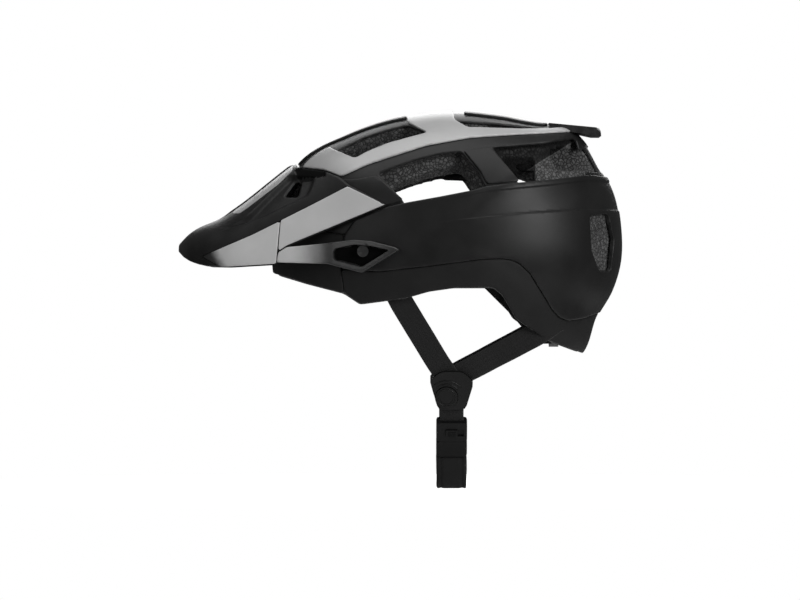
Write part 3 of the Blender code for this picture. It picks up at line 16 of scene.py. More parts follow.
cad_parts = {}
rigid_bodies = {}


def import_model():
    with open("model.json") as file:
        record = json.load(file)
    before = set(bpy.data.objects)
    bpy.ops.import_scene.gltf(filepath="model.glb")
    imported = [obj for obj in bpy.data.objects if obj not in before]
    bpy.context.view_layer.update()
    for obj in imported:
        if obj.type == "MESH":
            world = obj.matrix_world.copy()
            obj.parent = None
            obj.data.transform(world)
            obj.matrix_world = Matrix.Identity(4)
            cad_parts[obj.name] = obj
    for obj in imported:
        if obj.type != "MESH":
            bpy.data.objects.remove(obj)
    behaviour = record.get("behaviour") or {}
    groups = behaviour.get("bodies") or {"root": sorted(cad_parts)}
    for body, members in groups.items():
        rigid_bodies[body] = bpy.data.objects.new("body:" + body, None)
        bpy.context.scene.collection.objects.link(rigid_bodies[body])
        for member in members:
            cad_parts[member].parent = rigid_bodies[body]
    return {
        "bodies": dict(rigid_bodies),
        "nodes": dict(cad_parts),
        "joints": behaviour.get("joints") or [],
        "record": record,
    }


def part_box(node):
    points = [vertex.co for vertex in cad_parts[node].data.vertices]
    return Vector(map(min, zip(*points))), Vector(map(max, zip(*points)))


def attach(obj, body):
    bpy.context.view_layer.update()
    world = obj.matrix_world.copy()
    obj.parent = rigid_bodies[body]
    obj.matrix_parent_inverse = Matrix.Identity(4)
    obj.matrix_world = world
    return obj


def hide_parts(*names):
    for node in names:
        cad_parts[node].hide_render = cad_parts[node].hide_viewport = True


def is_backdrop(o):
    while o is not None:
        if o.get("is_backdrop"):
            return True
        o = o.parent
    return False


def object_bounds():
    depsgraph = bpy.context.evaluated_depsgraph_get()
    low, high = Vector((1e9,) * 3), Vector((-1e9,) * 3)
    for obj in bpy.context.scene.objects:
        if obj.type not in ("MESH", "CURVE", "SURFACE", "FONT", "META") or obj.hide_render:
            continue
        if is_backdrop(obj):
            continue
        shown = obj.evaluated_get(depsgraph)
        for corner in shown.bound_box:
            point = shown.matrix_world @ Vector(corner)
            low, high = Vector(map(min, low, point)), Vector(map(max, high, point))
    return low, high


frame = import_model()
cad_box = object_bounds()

nodes = frame["nodes"]
record = frame["record"]
body_of_node = {node: body for body, names in record["behaviour"]["bodies"].items() for node in names}

# %% [markdown]
# ## Camera and light
# The helmet is shown in exact side view, as catalogues do, so the camera stands level
# with the middle of the model and far away, with a long lens that keeps its lines
# parallel. Black plastic looks grey under a bright sky, so the sky is white only where
# the camera looks straight at it, and dim where surfaces mirror it.

# %% Camera
low_corner, high_corner = (Vector(corner) for corner in cad_box)
middle = (low_corner + high_corner) / 2
CAMERA_DISTANCE = 5.0
FRAME_WIDTH = 0.68

camera = bpy.data.objects.new("camera", bpy.data.cameras.new("camera"))
camera.data.sensor_width = 36.0
camera.data.lens = 36.0 * CAMERA_DISTANCE / FRAME_WIDTH
camera.location = (middle.x, -CAMERA_DISTANCE, middle.z)
camera.rotation_euler = (math.pi / 2, 0, 0)
bpy.context.collection.objects.link(camera)
bpy.context.scene.camera = camera
bpy.context.scene.view_settings.view_transform = "Standard"
print("camera looks at", [round(v, 4) for v in middle], "with a lens of", round(camera.data.lens, 1), "mm")

# %% Lights


def soft_box(name, place, aim, size, power):
    """A square studio light of one size in metres, turned to a point."""
    light = bpy.data.lights.new(name, "AREA")
    light.shape = "RECTANGLE"
    light.size, light.size_y = size
    light.energy = power
    lamp = bpy.data.objects.new(name, light)
    lamp.location = place
    lamp.rotation_euler = (Vector(aim) - Vector(place)).to_track_quat("-Z", "Y").to_euler()
    lamp.visible_camera = False
    bpy.context.collection.objects.link(lamp)
    return lamp


soft_box("overhead_box", (-0.10, -0.25, 1.25), middle, (1.6, 1.1), 15.0)
soft_box("rear_quarter_box", (1.15, -1.35, 0.35), (0.05, 0.0, -0.05), (0.55, 0.9), 22.0)
soft_box("front_fill", (-1.3, -1.5, 0.3), (-0.15, 0.0, -0.06), (0.9, 0.9), 5.0)
soft_box("far_side_box", (0.1, 1.5, 0.6), middle, (1.2, 0.8), 10.0)

world = bpy.data.worlds.new("studio")
bpy.context.scene.world = world
world.use_nodes = True
sky = world.node_tree
backdrop = sky.nodes["Background"]
backdrop.inputs["Color"].default_value = (1.0, 1.0, 1.0, 1.0)
seen = sky.nodes.new("ShaderNodeLightPath")
strength = sky.nodes.new("ShaderNodeMapRange")
strength.inputs["To Min"].default_value = 0.09
strength.inputs["To Max"].default_value = 1.0
sky.links.new(seen.outputs["Is Camera Ray"], strength.inputs["Value"])
sky.links.new(strength.outputs["Result"], backdrop.inputs["Strength"])
print("four soft boxes and a white surround")

# %% [markdown]
# ## Shader sums
# A material is easier to read as a sum than as a web of nodes. One small class wraps a
# node's output and answers to +, - and *, each of which adds a Math node. Every other
# node comes from one method that sets the node's own choices first and its sockets next.

# %% Sums and finishes


class Value:
    """One output of a material's nodes, which can be used in sums."""

    def __init__(self, finish, socket):
        self.finish = finish
        self.socket = socket

    def math(self, operation, first, second=0.0):
        return self.finish.add("Math", {"operation": operation}, {0: first, 1: second})

    def __add__(self, other):
        return self.math("ADD", self, other)

    __radd__ = __add__

    def __sub__(self, other):
        return self.math("SUBTRACT", self, other)

    def __rsub__(self, other):
        return self.math("SUBTRACT", other, self)

    def __mul__(self, other):
        return self.math("MULTIPLY", self, other)

    __rmul__ = __mul__

    def ramp(self, low, high):
        """0 below low, 1 above high, and smooth between them."""
        settings = {"interpolation_type": "SMOOTHSTEP"}
        return self.finish.add("MapRange", settings, {"Value": self, "From Min": low, "From Max": high})


class Finish:
    """A procedural material. Its constants go straight onto the shader's sockets."""

    def __init__(self, name, **constants):
        self.material = bpy.data.materials.new(name)
        self.material.use_nodes = True
        self.tree = self.material.node_tree
        self.shader = self.tree.nodes["Principled BSDF"]
        for socket, value in constants.items():
            self.shader.inputs[socket.replace("_", " ")].default_value = value

    def put(self, target, value):
        if isinstance(value, Value):
            self.tree.links.new(value.socket, target)
        elif target.type == "RGBA":
            target.default_value = (*value, 1.0) if len(value) == 3 else value
        else:
            target.default_value = value

    def add(self, kind, settings=None, inputs=None, out=0):
        """A node of one kind, with its settings, then its sockets."""
        node = self.tree.nodes.new("ShaderNode" + kind)
        for key, value in (settings or {}).items():
            setattr(node, key, value)
        for key, value in (inputs or {}).items():
            self.put(node.inputs[key], value)
        return Value(self, node.outputs[out])

    def place(self):
        """Where a point is on the piece at rest, in metres."""
        return self.add("TexCoord", out="Object")

    def axis(self, index, vector=None):
        return self.add("SeparateXYZ", inputs={0: vector or self.place()}, out=index)

    def noise(self, scale, detail=2.0):
        return self.add("TexNoise", inputs={"Vector": self.place(), "Scale": scale, "Detail": detail})

    def number(self, name):
        """A number written on the mesh at each point."""
        return self.add("Attribute", {"attribute_name": name}, out="Fac")

    def sine(self, value):
        return self.add("Math", {"operation": "SINE"}, {0: value})

    def cells(self, scale, feature="F1", vector=None, out="Distance"):
        inputs = {"Vector": vector or self.place(), "Scale": scale}
        return self.add("TexVoronoi", {"feature": feature}, inputs, out)

    def rim(self):
        """Distance from the piece's own edge, in metres, written on the mesh."""
        return self.number("rim")

    def blend(self, share, first, second):
        """Two colours mixed by a share."""
        return self.add("Mix", {"data_type": "RGBA"}, {0: share, 6: first, 7: second}, out=2)

    def dress(self, colour, roughness, height, depth, strength):
        """Links what varies over the surface to the shader."""
        bump = self.add("Bump", inputs={"Strength": strength, "Distance": depth, "Height": height})
        for socket, value in (("Base Color", colour), ("Roughness", roughness), ("Normal", bump)):
            self.put(self.shader.inputs[socket], value)
        return self.material


def grey(level):
    return (level, level, level)


# %% [markdown]
# ## Moulded plastics
# Three plastics make the outside: a satin black on the belt and the frame, a matte black
# under it, and a light grey on the stripe and the peak. A mould leaves a fine grain, so
# each gets a small bump; handling polishes the edges, so near a piece's rim the colour
# turns a little lighter and the surface a little smoother.

# %% Plastics


def mould_grain(look, fine, coarse):
    """Bumps that a mould leaves, from two patterns per metre."""
    return look.noise(fine, 3.0) + look.cells(coarse) * 0.6


def worn_edge(look, width, share):
    """Patches along a piece's rim that handling has polished."""
    return (1 - look.rim().ramp(0.0, width)) * look.noise(160.0).ramp(0.40, 0.62) * share


def moulded(name, dark, light, rough, grain, grain_depth, worn=0.5, **constants):
    """Plastic with mould grain, faint mottling and polished edges."""
    look = Finish(name, **constants)
    mottle = look.noise(38.0, 4.0)
    speck = look.noise(1500.0, 1.0)
    polish = worn_edge(look, 0.0011, worn)
    shade = look.blend(mottle.ramp(0.3, 0.7), grey(dark), grey(light))
    shade = look.blend(polish, shade, grey(light * 1.9 + 0.012))
    rough_now = rough + (mottle - 0.5) * 0.10 + (speck - 0.5) * 0.08 - polish * 0.10
    return look.dress(shade, rough_now, mould_grain(look, grain, grain * 0.8), grain_depth, 0.55)


satin_black = moulded("satin_black_plastic", 0.0080, 0.0115, 0.42, 2100.0, 0.00006, Specular_IOR_Level=0.20)
matte_black = moulded("matte_black_plastic", 0.0070, 0.0100, 0.62, 1500.0, 0.00010, 0.35,
                      Specular_IOR_Level=0.20)
light_grey = moulded("light_grey_plastic", 0.335, 0.365, 0.40, 2400.0, 0.00004, 0.3, Coat_Weight=0.15,
                     Coat_Roughness=0.22)
print("three moulded plastics")

# %% [markdown]
# ## One skin, many panels
# Every outer panel lies on one rounded form, so the form is worked out once: an outline
# in side view gives its length and height, and a superellipse gives how it rounds off to
# the sides. Wrapping a cube round it makes even squares with no pinched pole. A panel is
# then cut from the squares along its own outline, which is drawn in side view.

# %% The rounded form
MM = 0.001
POLE = np.array([4.0, -67.0]) * MM
HALF_WIDTH = 0.107
ROUNDNESS = 2.15
DOME_OUTLINE = [
    (7.0, 37.5), (-42.5, 32.5), (-88.5, 17.0), (-127.5, -6.0), (-144.0, -36.0), (-151.0, -67.0),
    (-151.5, -95.0), (-140.0, -137.5), (-93.5, -177.5), (-42.5, -197.0), (7.0, -203.0),
    (59.5, -197.0), (93.5, -185.0), (114.0, -169.0), (126.0, -137.5), (138.5, -115.5),
    (145.5, -92.5), (146.0, -61.0), (141.0, -34.0), (129.0, -9.0), (115.5, 14.0), (104.0, 24.5),
    (76.5, 28.0), (42.5, 34.0),
]


def unit_rows(rows):
    return rows / np.linalg.norm(rows, axis=1, keepdims=True)


def smooth_curve(table, x):
    """A smooth curve through (x, value) pairs, at an array of places."""
    xs, ys = np.array(table, float).T
    slopes = np.gradient(ys, xs)
    x = np.clip(np.asarray(x, float), xs[0], xs[-1])
    i = np.clip(np.searchsorted(xs, x, side="right") - 1, 0, len(xs) - 2)
    h = xs[i + 1] - xs[i]
    t = (x - xs[i]) / h
    return (ys[i] * (1 + 2 * t) * (1 - t) ** 2 + slopes[i] * h * t * (1 - t) ** 2
            + ys[i + 1] * t * t * (3 - 2 * t) + slopes[i + 1] * h * t * t * (t - 1))


def round_table(outline, centre):
    """Angle and reach of an outline round a centre, lapped past both ends."""
    polar = sorted((math.atan2(z * MM - centre[1], x * MM - centre[0]),
                    math.hypot(x * MM - centre[0], z * MM - centre[1])) for x, z in outline)
    turn = 2 * math.pi
    return [(a - turn, r) for a, r in polar[-3:]] + polar + [(a + turn, r) for a, r in polar[:3]]


DOME_REACH = round_table(DOME_OUTLINE, POLE)


def form_share(points):
    """1 on the form, less inside it and more outside it."""
    dx, dz = points[:, 0] - POLE[0], points[:, 2] - POLE[1]
    reach = smooth_curve(DOME_REACH, np.arctan2(dz, dx))
    along, across = np.hypot(dx, dz) / reach, abs(points[:, 1]) / HALF_WIDTH
    return (along ** ROUNDNESS + across ** ROUNDNESS) ** (1 / ROUNDNESS)


def height_over_form(points):
    """Rough distance of each point outside the form, in metres."""
    here = form_share(points)
    steps = [(form_share(points + np.eye(3)[k] * 0.0005) - here) / 0.0005 for k in range(3)]
    return (here - 1) / np.linalg.norm(steps, axis=0)


class Sheet:
    """Points with outward normals, faces, and named numbers at each point."""

    def __init__(self, points, faces, normals, **numbers):
        self.points, self.faces, self.normals, self.numbers = points, faces, normals, numbers

    def copy(self):
        return Sheet(self.points, list(self.faces), self.normals, **self.numbers)


def grid_normals(points, quads):
    """Smooth normals of a sheet of squares."""
    a, b, c, d = (points[quads[:, k]] for k in range(4))
    facing = np.cross(c - a, d - b)
    normals = np.zeros_like(points)
    for k in range(4):
        np.add.at(normals, quads[:, k], facing)
    return normals / np.maximum(np.linalg.norm(normals, axis=1, keepdims=True), 1e-12)


def grid_quads(index):
    """The squares between neighbours in a grid of point numbers."""
    return np.stack([index[:-1, :-1], index[1:, :-1], index[1:, 1:], index[:-1, 1:]], -1).reshape(-1, 4)


def facing_out(points, quads, outward):
    """A sheet of squares, turned over if its normals go against a direction."""
    normals = grid_normals(points, quads)
    if np.mean(np.sum(normals * outward, 1)) < 0:
        normals, quads = -normals, quads[:, ::-1]
    return Sheet(points, [tuple(q) for q in quads.tolist()], normals)


def wrapped_cube(n):
    """Directions and squares of a cube blown up into a ball."""
    side = np.tan(np.linspace(-1, 1, n + 1) * math.pi / 4)
    u, v = (grid.ravel() for grid in np.meshgrid(side, side, indexing="ij"))
    one = np.ones_like(u)
    sides = [(one, u, v), (-one, v, u), (v, one, u), (u, -one, v), (u, v, one), (v, u, -one)]
    quad = grid_quads(np.arange((n + 1) ** 2).reshape(n + 1, n + 1))
    points = unit_rows(np.concatenate([np.stack(side, 1) for side in sides]))
    quads = np.concatenate([quad + k * len(u) for k in range(6)])
    _, first, same = np.unique(np.round(points, 7), axis=0, return_index=True, return_inverse=True)
    return points[first], same.ravel()[quads]


def dome_sheet(n):
    """The whole form as an even sheet."""
    toward, quads = wrapped_cube(n)
    wide = -toward[:, 1]
    flat = np.hypot(toward[:, 0], toward[:, 2])
    angle = np.arctan2(toward[:, 2], toward[:, 0])
    reach = flat ** (2 / ROUNDNESS) * smooth_curve(DOME_REACH, angle)
    level = -np.sign(wide) * abs(wide) ** (2 / ROUNDNESS) * HALF_WIDTH
    points = np.stack([POLE[0] + reach * np.cos(angle), level, POLE[1] + reach * np.sin(angle)], 1)
    return facing_out(points, quads, toward)


dome = dome_sheet(84)
print(len(dome.faces), "squares on the form")

# %% [markdown]
# ## Cutting a panel out
# The distance from each point to an outline is a number on the sheet. Cutting the faces
# where that number passes a level gives a clean edge, and cutting again a little further
# in gives rows of points that follow the edge, so the edge can be rounded over by sinking
# those rows. The same rows carry steps, grooves and recesses.

# %% Distances and cuts
SIDE, PLAN, FRONT = (0, 2), (0, 1), (1, 2)


def softened(points, reach):
    """The outline with each corner turned into a short curve."""
    corners = [np.array(p, float) for p in points]
    result = []
    for before, corner, after in zip(corners[-1:] + corners[:-1], corners, corners[1:] + corners[:1]):
        back, ahead = before - corner, after - corner
        start = corner + back * min(reach / np.linalg.norm(back), 0.4)
        end = corner + ahead * min(reach / np.linalg.norm(ahead), 0.4)
        for t in np.linspace(0, 1, 5):
            result.append(start * (1 - t) ** 2 + corner * 2 * t * (1 - t) + end * t * t)
    return np.array(result)


def edge_distance(sheet, outline, view=SIDE):
    """Metres inside an outline drawn in millimetres, measured along the skin."""
    ring = np.array(outline, float) * MM
    here = sheet.points[:, view]
    ahead = np.roll(ring, -1, axis=0) - ring
    best = np.full(len(here), 1e9)
    away = np.zeros_like(here)
    inside = np.zeros(len(here), bool)
    for start, step in zip(ring, ahead):
        rel = here - start
        share = np.clip(rel @ step / max(step @ step, 1e-18), 0, 1)
        gap = rel - share[:, None] * step
        far = np.hypot(gap[:, 0], gap[:, 1])
        nearer = far < best
        best = np.where(nearer, far, best)
        away[nearer] = gap[nearer]
        crosses = (start[1] > here[:, 1]) != (start[1] + step[1] > here[:, 1])
        if abs(step[1]) > 1e-12:
            inside ^= crosses & (here[:, 0] < start[0] + step[0] * (here[:, 1] - start[1]) / step[1])
    signed = np.where(inside, best, -best)
    away /= np.maximum(best, 1e-9)[:, None]
    lean = sum(away[:, k] * sheet.normals[:, view[k]] for k in range(2))
    return signed / np.sqrt(np.clip(1 - lean**2, 0.06, 1))


def cut_level(sheet, name, level, snap=0.00004):
    """Cuts every face that crosses a level of one number, along that level."""
    value = sheet.numbers[name].copy()
    value[abs(value - level) < snap] = level
    sheet.numbers[name] = value
    sizes = np.array([len(face) for face in sheet.faces])
    flat = np.fromiter((v for face in sheet.faces for v in face), int, sizes.sum())
    starts = np.concatenate([[0], np.cumsum(sizes)[:-1]])
    low = np.minimum.reduceat(value[flat], starts)
    high = np.maximum.reduceat(value[flat], starts)
    crossing = np.nonzero((low < level) & (high > level))[0]
    if not len(crossing):
        return
    found, pairs, shares = {}, [], []
    kept = [face for face, cuts in zip(sheet.faces, (low < level) & (high > level)) if not cuts]
    for index in crossing:
        face = sheet.faces[index]
        above, below = [], []
        for a, b in zip(face, face[1:] + face[:1]):
            if value[a] >= level:
                above.append(a)
            if value[a] <= level:
                below.append(a)
            if (value[a] - level) * (value[b] - level) < 0:
                key = (min(a, b), max(a, b))
                if key not in found:
                    found[key] = len(value) + len(pairs)
                    pairs.append(key)
                    shares.append((level - value[key[0]]) / (value[key[1]] - value[key[0]]))
                above.append(found[key])
                below.append(found[key])
        kept += [tuple(part) for part in (above, below) if len(part) > 2]
    sheet.faces = kept
    if pairs:
        a, b = np.array(pairs).T
        t = np.array(shares)
        mixed = lambda numbers: numbers[a] * (1 - t) + numbers[b] * t
        for key in sheet.numbers:
            sheet.numbers[key] = np.concatenate([sheet.numbers[key], mixed(sheet.numbers[key])])
        sheet.numbers[name][-len(pairs):] = level
        t = t[:, None]
        sheet.points = np.concatenate([sheet.points, mixed(sheet.points)])
        sheet.normals = np.concatenate([sheet.normals, unit_rows(mixed(sheet.normals))])


def keep_inside(sheet, name, low=0.0):
    """Drops the faces below a level, and the points that nothing uses."""
    value = sheet.numbers[name]
    sheet.faces = [face for face in sheet.faces if min(value[v] for v in face) >= low - 1e-9]
    used = np.unique(np.fromiter((v for face in sheet.faces for v in face), int))
    place = np.full(len(value), -1)
    place[used] = np.arange(len(used))
    sheet.faces = [tuple(place[v] for v in face) for face in sheet.faces]
    sheet.points, sheet.normals = sheet.points[used], sheet.normals[used]
    sheet.numbers = {key: numbers[used] for key, numbers in sheet.numbers.items()}


def smooth_step(value, low, high):
    share = np.clip((value - low) / (high - low), 0, 1)
    return share * share * (3 - 2 * share)


print("outlines can be measured in side, plan and front view")

# %% [markdown]
# ## From sheet to solid
# A panel's outer face is its sheet, sunk where its edge rounds over, and its inner face
# is the same sheet sunk by the wall. Two faces and the strip that joins their edges make
# one closed solid. Each point keeps its distance from the edge, for the finish to use.

# %% Panels


def write_number(mesh, label, values):
    mesh.attributes.new(label, "FLOAT", "POINT").data.foreach_set("value", np.asarray(values, np.float32))


def round_over(inside, radius):
    """How far a rounded edge has sunk, at a distance in from the edge."""
    left = np.clip(radius - inside, 0, radius)
    return radius - np.sqrt(np.maximum(radius**2 - left**2, 0))


def mesh_object(name, points, faces, sharp=50, **numbers):
    """A new object from points and faces, with named numbers at each point."""
    mesh = bpy.data.meshes.new(name)
    mesh.from_pydata([tuple(p) for p in points], [], faces)
    for label, values in numbers.items():
        write_number(mesh, label, values)
    mesh.shade_smooth()
    mesh.set_sharp_from_angle(angle=math.radians(sharp))
    obj = bpy.data.objects.new(name, mesh)
    bpy.context.collection.objects.link(obj)
    return obj


def walled(name, sheet, outer, inner, radius=0.0008, under=0.0):
    """Solid between two depths of a sheet, with its outer edge rounded over."""
    inside = sheet.numbers["inside"]
    face_depth = outer + round_over(inside, radius)
    back_depth = np.maximum(inner - round_over(inside, under), face_depth + 0.0001)
    top = sheet.points - sheet.normals * face_depth[:, None]
    bottom = sheet.points - sheet.normals * back_depth[:, None]
    count = len(top)
    edges = {}
    for face in sheet.faces:
        for a, b in zip(face, face[1:] + face[:1]):
            if (b, a) in edges:
                del edges[(b, a)]
            else:
                edges[(a, b)] = True
    faces = list(sheet.faces)
    faces += [tuple(v + count for v in face[::-1]) for face in sheet.faces]
    faces += [(b, a, a + count, b + count) for a, b in edges]
    return mesh_object(name, np.concatenate([top, bottom]), faces, rim=np.concatenate([inside, inside]))


def panel_sheet(inside, radius, source=None, under=0.0, more=()):
    """A sheet cut to its edge, with rows of points for the rounding and for any steps."""
    sheet = (source or dome).copy()
    sheet.numbers = {"inside": inside}
    for name, numbers, _ in more:
        sheet.numbers[name] = numbers
    keep_inside(sheet, "inside", -0.006)
    for level in (0.0, radius * 0.12, radius * 0.4, radius):
        cut_level(sheet, "inside", level)
    if under:
        cut_level(sheet, "inside", under)
    for name, _, levels in more:
        for level in levels:
            cut_level(sheet, name, level)
    keep_inside(sheet, "inside")
    return sheet


def wear_piece(obj, finish, node):
    """Gives a new piece its material, its body and the solid that it stands for."""
    obj.data.materials.clear()
    obj.data.materials.append(finish)
    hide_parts(node)
    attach(obj, body_of_node[node])
    return obj


def panel(name, node, finish, inside, depths, radius, source=None):
    """A plain panel between two depths, with its outer edge rounded over."""
    return wear_piece(walled(name, panel_sheet(inside, radius, source), *depths, radius), finish, node)


print("a panel is a cut sheet with a wall")

# %% [markdown]
# ## Skins of the helmet
# The belt is one wide skin round the sides and the rear, with a step along its upper
# part. The matte wrap goes on under it down to the rim, the frame is the black skin over
# the top with all the openings, and the light stripe lies on the frame. Neighbours share
# their lines, so the seams stay even.

# %% Shared lines
BELT_TOP = [
    (-89.0, -69.0), (-80.0, -56.0), (-52.0, -45.0), (-36.5, -41.5), (-8.5, -36.5), (17.0, -31.5),
    (31.5, -27.5), (60.0, -24.5), (85.0, -22.0), (118.0, -17.5), (150.0, -19.0),
]
LOWER_SEAM = [
    (-92.0, -97.0), (-59.5, -99.5), (-18.5, -95.0), (27.0, -89.0), (42.0, -88.5), (50.5, -89.6),
    (57.5, -92.4), (66.5, -100.5), (79.0, -120.0), (86.0, -131.5), (92.0, -137.8), (99.5, -140.8),
    (112.0, -139.0), (160.0, -124.0),
]
RIM = [
    (-160.0, -92.0), (-150.0, -101.0), (-120.0, -110.0), (-89.0, -118.0), (-75.5, -127.0), (-38.0, -122.0),
    (-17.0, -116.0), (4.0, -113.0), (31.0, -112.6), (37.5, -113.6), (44.0, -120.0), (55.0, -139.0),
    (81.0, -157.0), (113.0, -169.0), (150.0, -176.0),
]
FRONT_SEAM = [(-89.0, -69.0), (-92.0, -97.0), (-89.0, -118.0)]
BROW_LINE = [(-89.0, -69.0), (-106.0, -66.0), (-130.0, -58.0), (-170.0, -40.0)]
STEP_LOWER = [(-17.0, -61.0), (5.0, -57.0), (66.5, -51.0), (110.0, -48.0), (170.0, -48.0)]
STEP_UPPER = [(-17.0, -42.5), (31.5, -31.5), (85.0, -26.0), (118.0, -21.5), (170.0, -23.0)]
STRIPE = [
    (-131.0, -9.5), (-140.0, 0.0), (-118.0, 20.0), (-99.0, 5.0), (-80.0, -3.5), (-70.5, 2.0), (-52.0, 9.5),
    (-19.0, 18.5), (-36.0, 28.0), (-37.0, 45.0), (3.0, 45.0), (3.5, 30.0), (14.5, 23.0), (59.5, 22.0),
    (84.0, 22.5), (106.0, 25.0), (106.0, 20.5), (59.5, 17.5), (16.0, 14.0), (-8.5, 9.5), (-21.0, 7.0),
    (-52.0, -3.0), (-70.5, -9.0), (-92.0, -19.0), (-106.0, -13.0),
]
VENT_FRONT_SIDE = [
    (-61.0, -16.0), (-31.5, -5.0), (-8.5, 1.0), (9.0, 3.0), (24.0, -15.5), (30.0, -30.0), (17.0, -34.5),
    (-8.5, -39.5), (-37.0, -43.5),
]
VENT_REAR_SIDE = [(35.5, 6.5), (77.5, 11.0), (108.0, 15.0), (118.0, -20.5), (85.0, -25.0), (60.0, -27.5)]
VENT_TOP_FRONT = [(-97.0, 4.0), (-74.0, 15.5), (-54.5, 22.0), (-36.5, 26.5), (-20.0, 19.5), (-52.0, 10.5),
                  (-70.5, 3.0), (-80.0, -2.5)]
VENT_TOP_REAR = [(5.0, 29.5), (35.5, 28.0), (59.5, 26.0), (80.0, 23.5), (59.5, 23.0), (14.5, 24.0)]
VENT_BELT_REAR = [(117.5, -52.0), (134.0, -50.5), (139.0, -72.0), (136.0, -100.0), (126.0, -99.0),
                  (119.0, -81.0)]
PANEL_DEPTHS, FRAME_DEPTHS = (0.0004, 0.0018), (0.0021, 0.0037)
BELT_DEPTHS, WRAP_DEPTHS = (0.0, 0.0037), (0.0010, 0.0037)
SEAM = 0.3


def lowered(line, amount):
    return [(x, z - amount) for x, z in line]


def mirrored(outline):
    return [(-y, z) for y, z in outline]


def inside_all(*distances):
    return np.minimum.reduce(distances)


print("seams are", SEAM, "mm wide")

# %% Openings in the top
crown_slots = [
    [(-78.0, -8.0), (-30.0, -10.0), (-30.0, 10.0), (-78.0, 8.0)],
    [(30.0, -10.0), (82.0, -8.0), (82.0, 8.0), (30.0, 10.0)],
]
brow_middle = [(-20.0, -40.0), (20.0, -40.0), (24.0, -18.0), (-24.0, -18.0)]
brow_side = [(-62.0, -50.0), (-32.0, -44.0), (-36.0, -18.0), (-58.0, -26.0)]
tail_middle = [(-20.0, -14.0), (20.0, -14.0), (22.0, 8.0), (-22.0, 8.0)]
tail_side = [(-56.0, -14.0), (-28.0, -14.0), (-30.0, 7.0), (-50.0, 2.0)]


def only(condition, distance):
    """The distance where the condition holds, and far outside elsewhere."""
    return np.where(condition, distance, -0.05)


x, y, z = dome.points.T
slots = [only(z > -0.04, edge_distance(dome, softened(s, 6.0), PLAN)) for s in crown_slots]
intakes = [only(x < -0.085, edge_distance(dome, softened(o, 5.0), FRONT))
           for o in (brow_middle, brow_side, mirrored(brow_side))]
exhausts = [only(x > 0.055, edge_distance(dome, softened(o, 5.0), FRONT))
            for o in (tail_middle, tail_side, mirrored(tail_side))]
side_openings = [edge_distance(dome, softened(o, 3.0)) for o in (VENT_FRONT_SIDE, VENT_REAR_SIDE)]
top_openings = [edge_distance(dome, softened(o, 3.0)) for o in (VENT_TOP_FRONT, VENT_TOP_REAR)]
open_top = slots + intakes + exhausts + side_openings + top_openings
print(len(open_top), "kinds of opening in the frame")

# %% Belt, wrap and brow
belt_band = BELT_TOP + LOWER_SEAM[::-1]
belt_inside = inside_all(edge_distance(dome, belt_band), -edge_distance(dome, softened(VENT_BELT_REAR, 3.0)))
step_inside = edge_distance(dome, STEP_LOWER + STEP_UPPER[::-1])
sheet = panel_sheet(belt_inside, 0.0012, more=[("step", step_inside, (0.0, 0.0007, 0.0016))])
sunk = 0.0009 * smooth_step(sheet.numbers["step"], 0.0, 0.0016)
sunk *= smooth_step(sheet.points[:, 0], -0.020, 0.030)
belt = walled("belt", sheet, BELT_DEPTHS[0] + sunk, BELT_DEPTHS[1], 0.0012)
wear_piece(belt, satin_black, "belt_panel")

wrap_inside = edge_distance(dome, lowered(LOWER_SEAM, SEAM) + RIM[:2:-1])
wrap = panel("rim_wrap", "lower_wrap", matte_black, wrap_inside, WRAP_DEPTHS, 0.0013)

brow_band = lowered(BROW_LINE[:0:-1], SEAM) + [(px - SEAM, pz) for px, pz in FRONT_SEAM] + RIM[2::-1]
panel("brow", "brow_panel", matte_black, edge_distance(dome, brow_band), WRAP_DEPTHS, 0.0013)
print("belt", len(belt.data.polygons), "faces, wrap", len(wrap.data.polygons))

# %% Frame, stripe and centre strips
frame_band = [(-170.0, 80.0)] + lowered(BROW_LINE[::-1] + BELT_TOP[1:], -SEAM) + [(150.0, 80.0)]
frame_inside = inside_all(edge_distance(dome, frame_band), *[-opening for opening in open_top])
panel("top_frame", "upper_frame", satin_black, frame_inside, FRAME_DEPTHS, 0.0009)

centre_gaps = [edge_distance(dome, [(-200, -31), (-36, -31), (-36, 31), (-200, 31)], PLAN),
               edge_distance(dome, [(12, -31), (200, -31), (200, 31), (12, 31)], PLAN)]
stripe_inside = inside_all(edge_distance(dome, softened(STRIPE, 3.0)), *[-gap for gap in centre_gaps])
stripe = panel("stripe", "top_panel", light_grey, stripe_inside, PANEL_DEPTHS, 0.0009)

strips = [("spine_front", [(-129, -11), (-92, -17), (-36.5, -24), (-36.5, 24), (-92, 17), (-129, 11)]),
          ("spine_rear", [(12.5, -24), (83, -22), (83, 22), (12.5, 24)])]
for node, outline in strips:
    strip_inside = only(z > -0.03, edge_distance(dome, softened(outline, 4.0), PLAN))
    strip_inside = inside_all(strip_inside, *[-slot for slot in slots])
    panel(node.replace("spine", "centre_strip"), node, satin_black, strip_inside, (0.0, 0.0018), 0.0010)
print("stripe", len(stripe.data.polygons), "faces")

# %% Ribs beside the vents
FRONT_RIB = [(-93.0, -21.0), (-81.0, -22.0), (-62.0, -18.5), (-38.5, -40.0), (-52.5, -43.5), (-80.0, -54.0),
             (-105.0, -60.0), (-112.0, -40.0)]
SLANTED_RIB = [(11.0, 2.5), (34.0, 6.0), (58.0, -23.5), (31.0, -26.0), (25.0, -15.0)]
for node, outline, corner in (("front_rib", FRONT_RIB, 3.0), ("slanted_rib", SLANTED_RIB, 2.0)):
    whole = edge_distance(dome, softened(outline, corner))
    for label, side in (("left", -1), ("right", 1)):
        inside = only(side * y > 0, whole)
        panel(f"{node}_{label}_skin", f"{node}_{label}", satin_black, inside, PANEL_DEPTHS, 0.0008)
print("two ribs on each side")

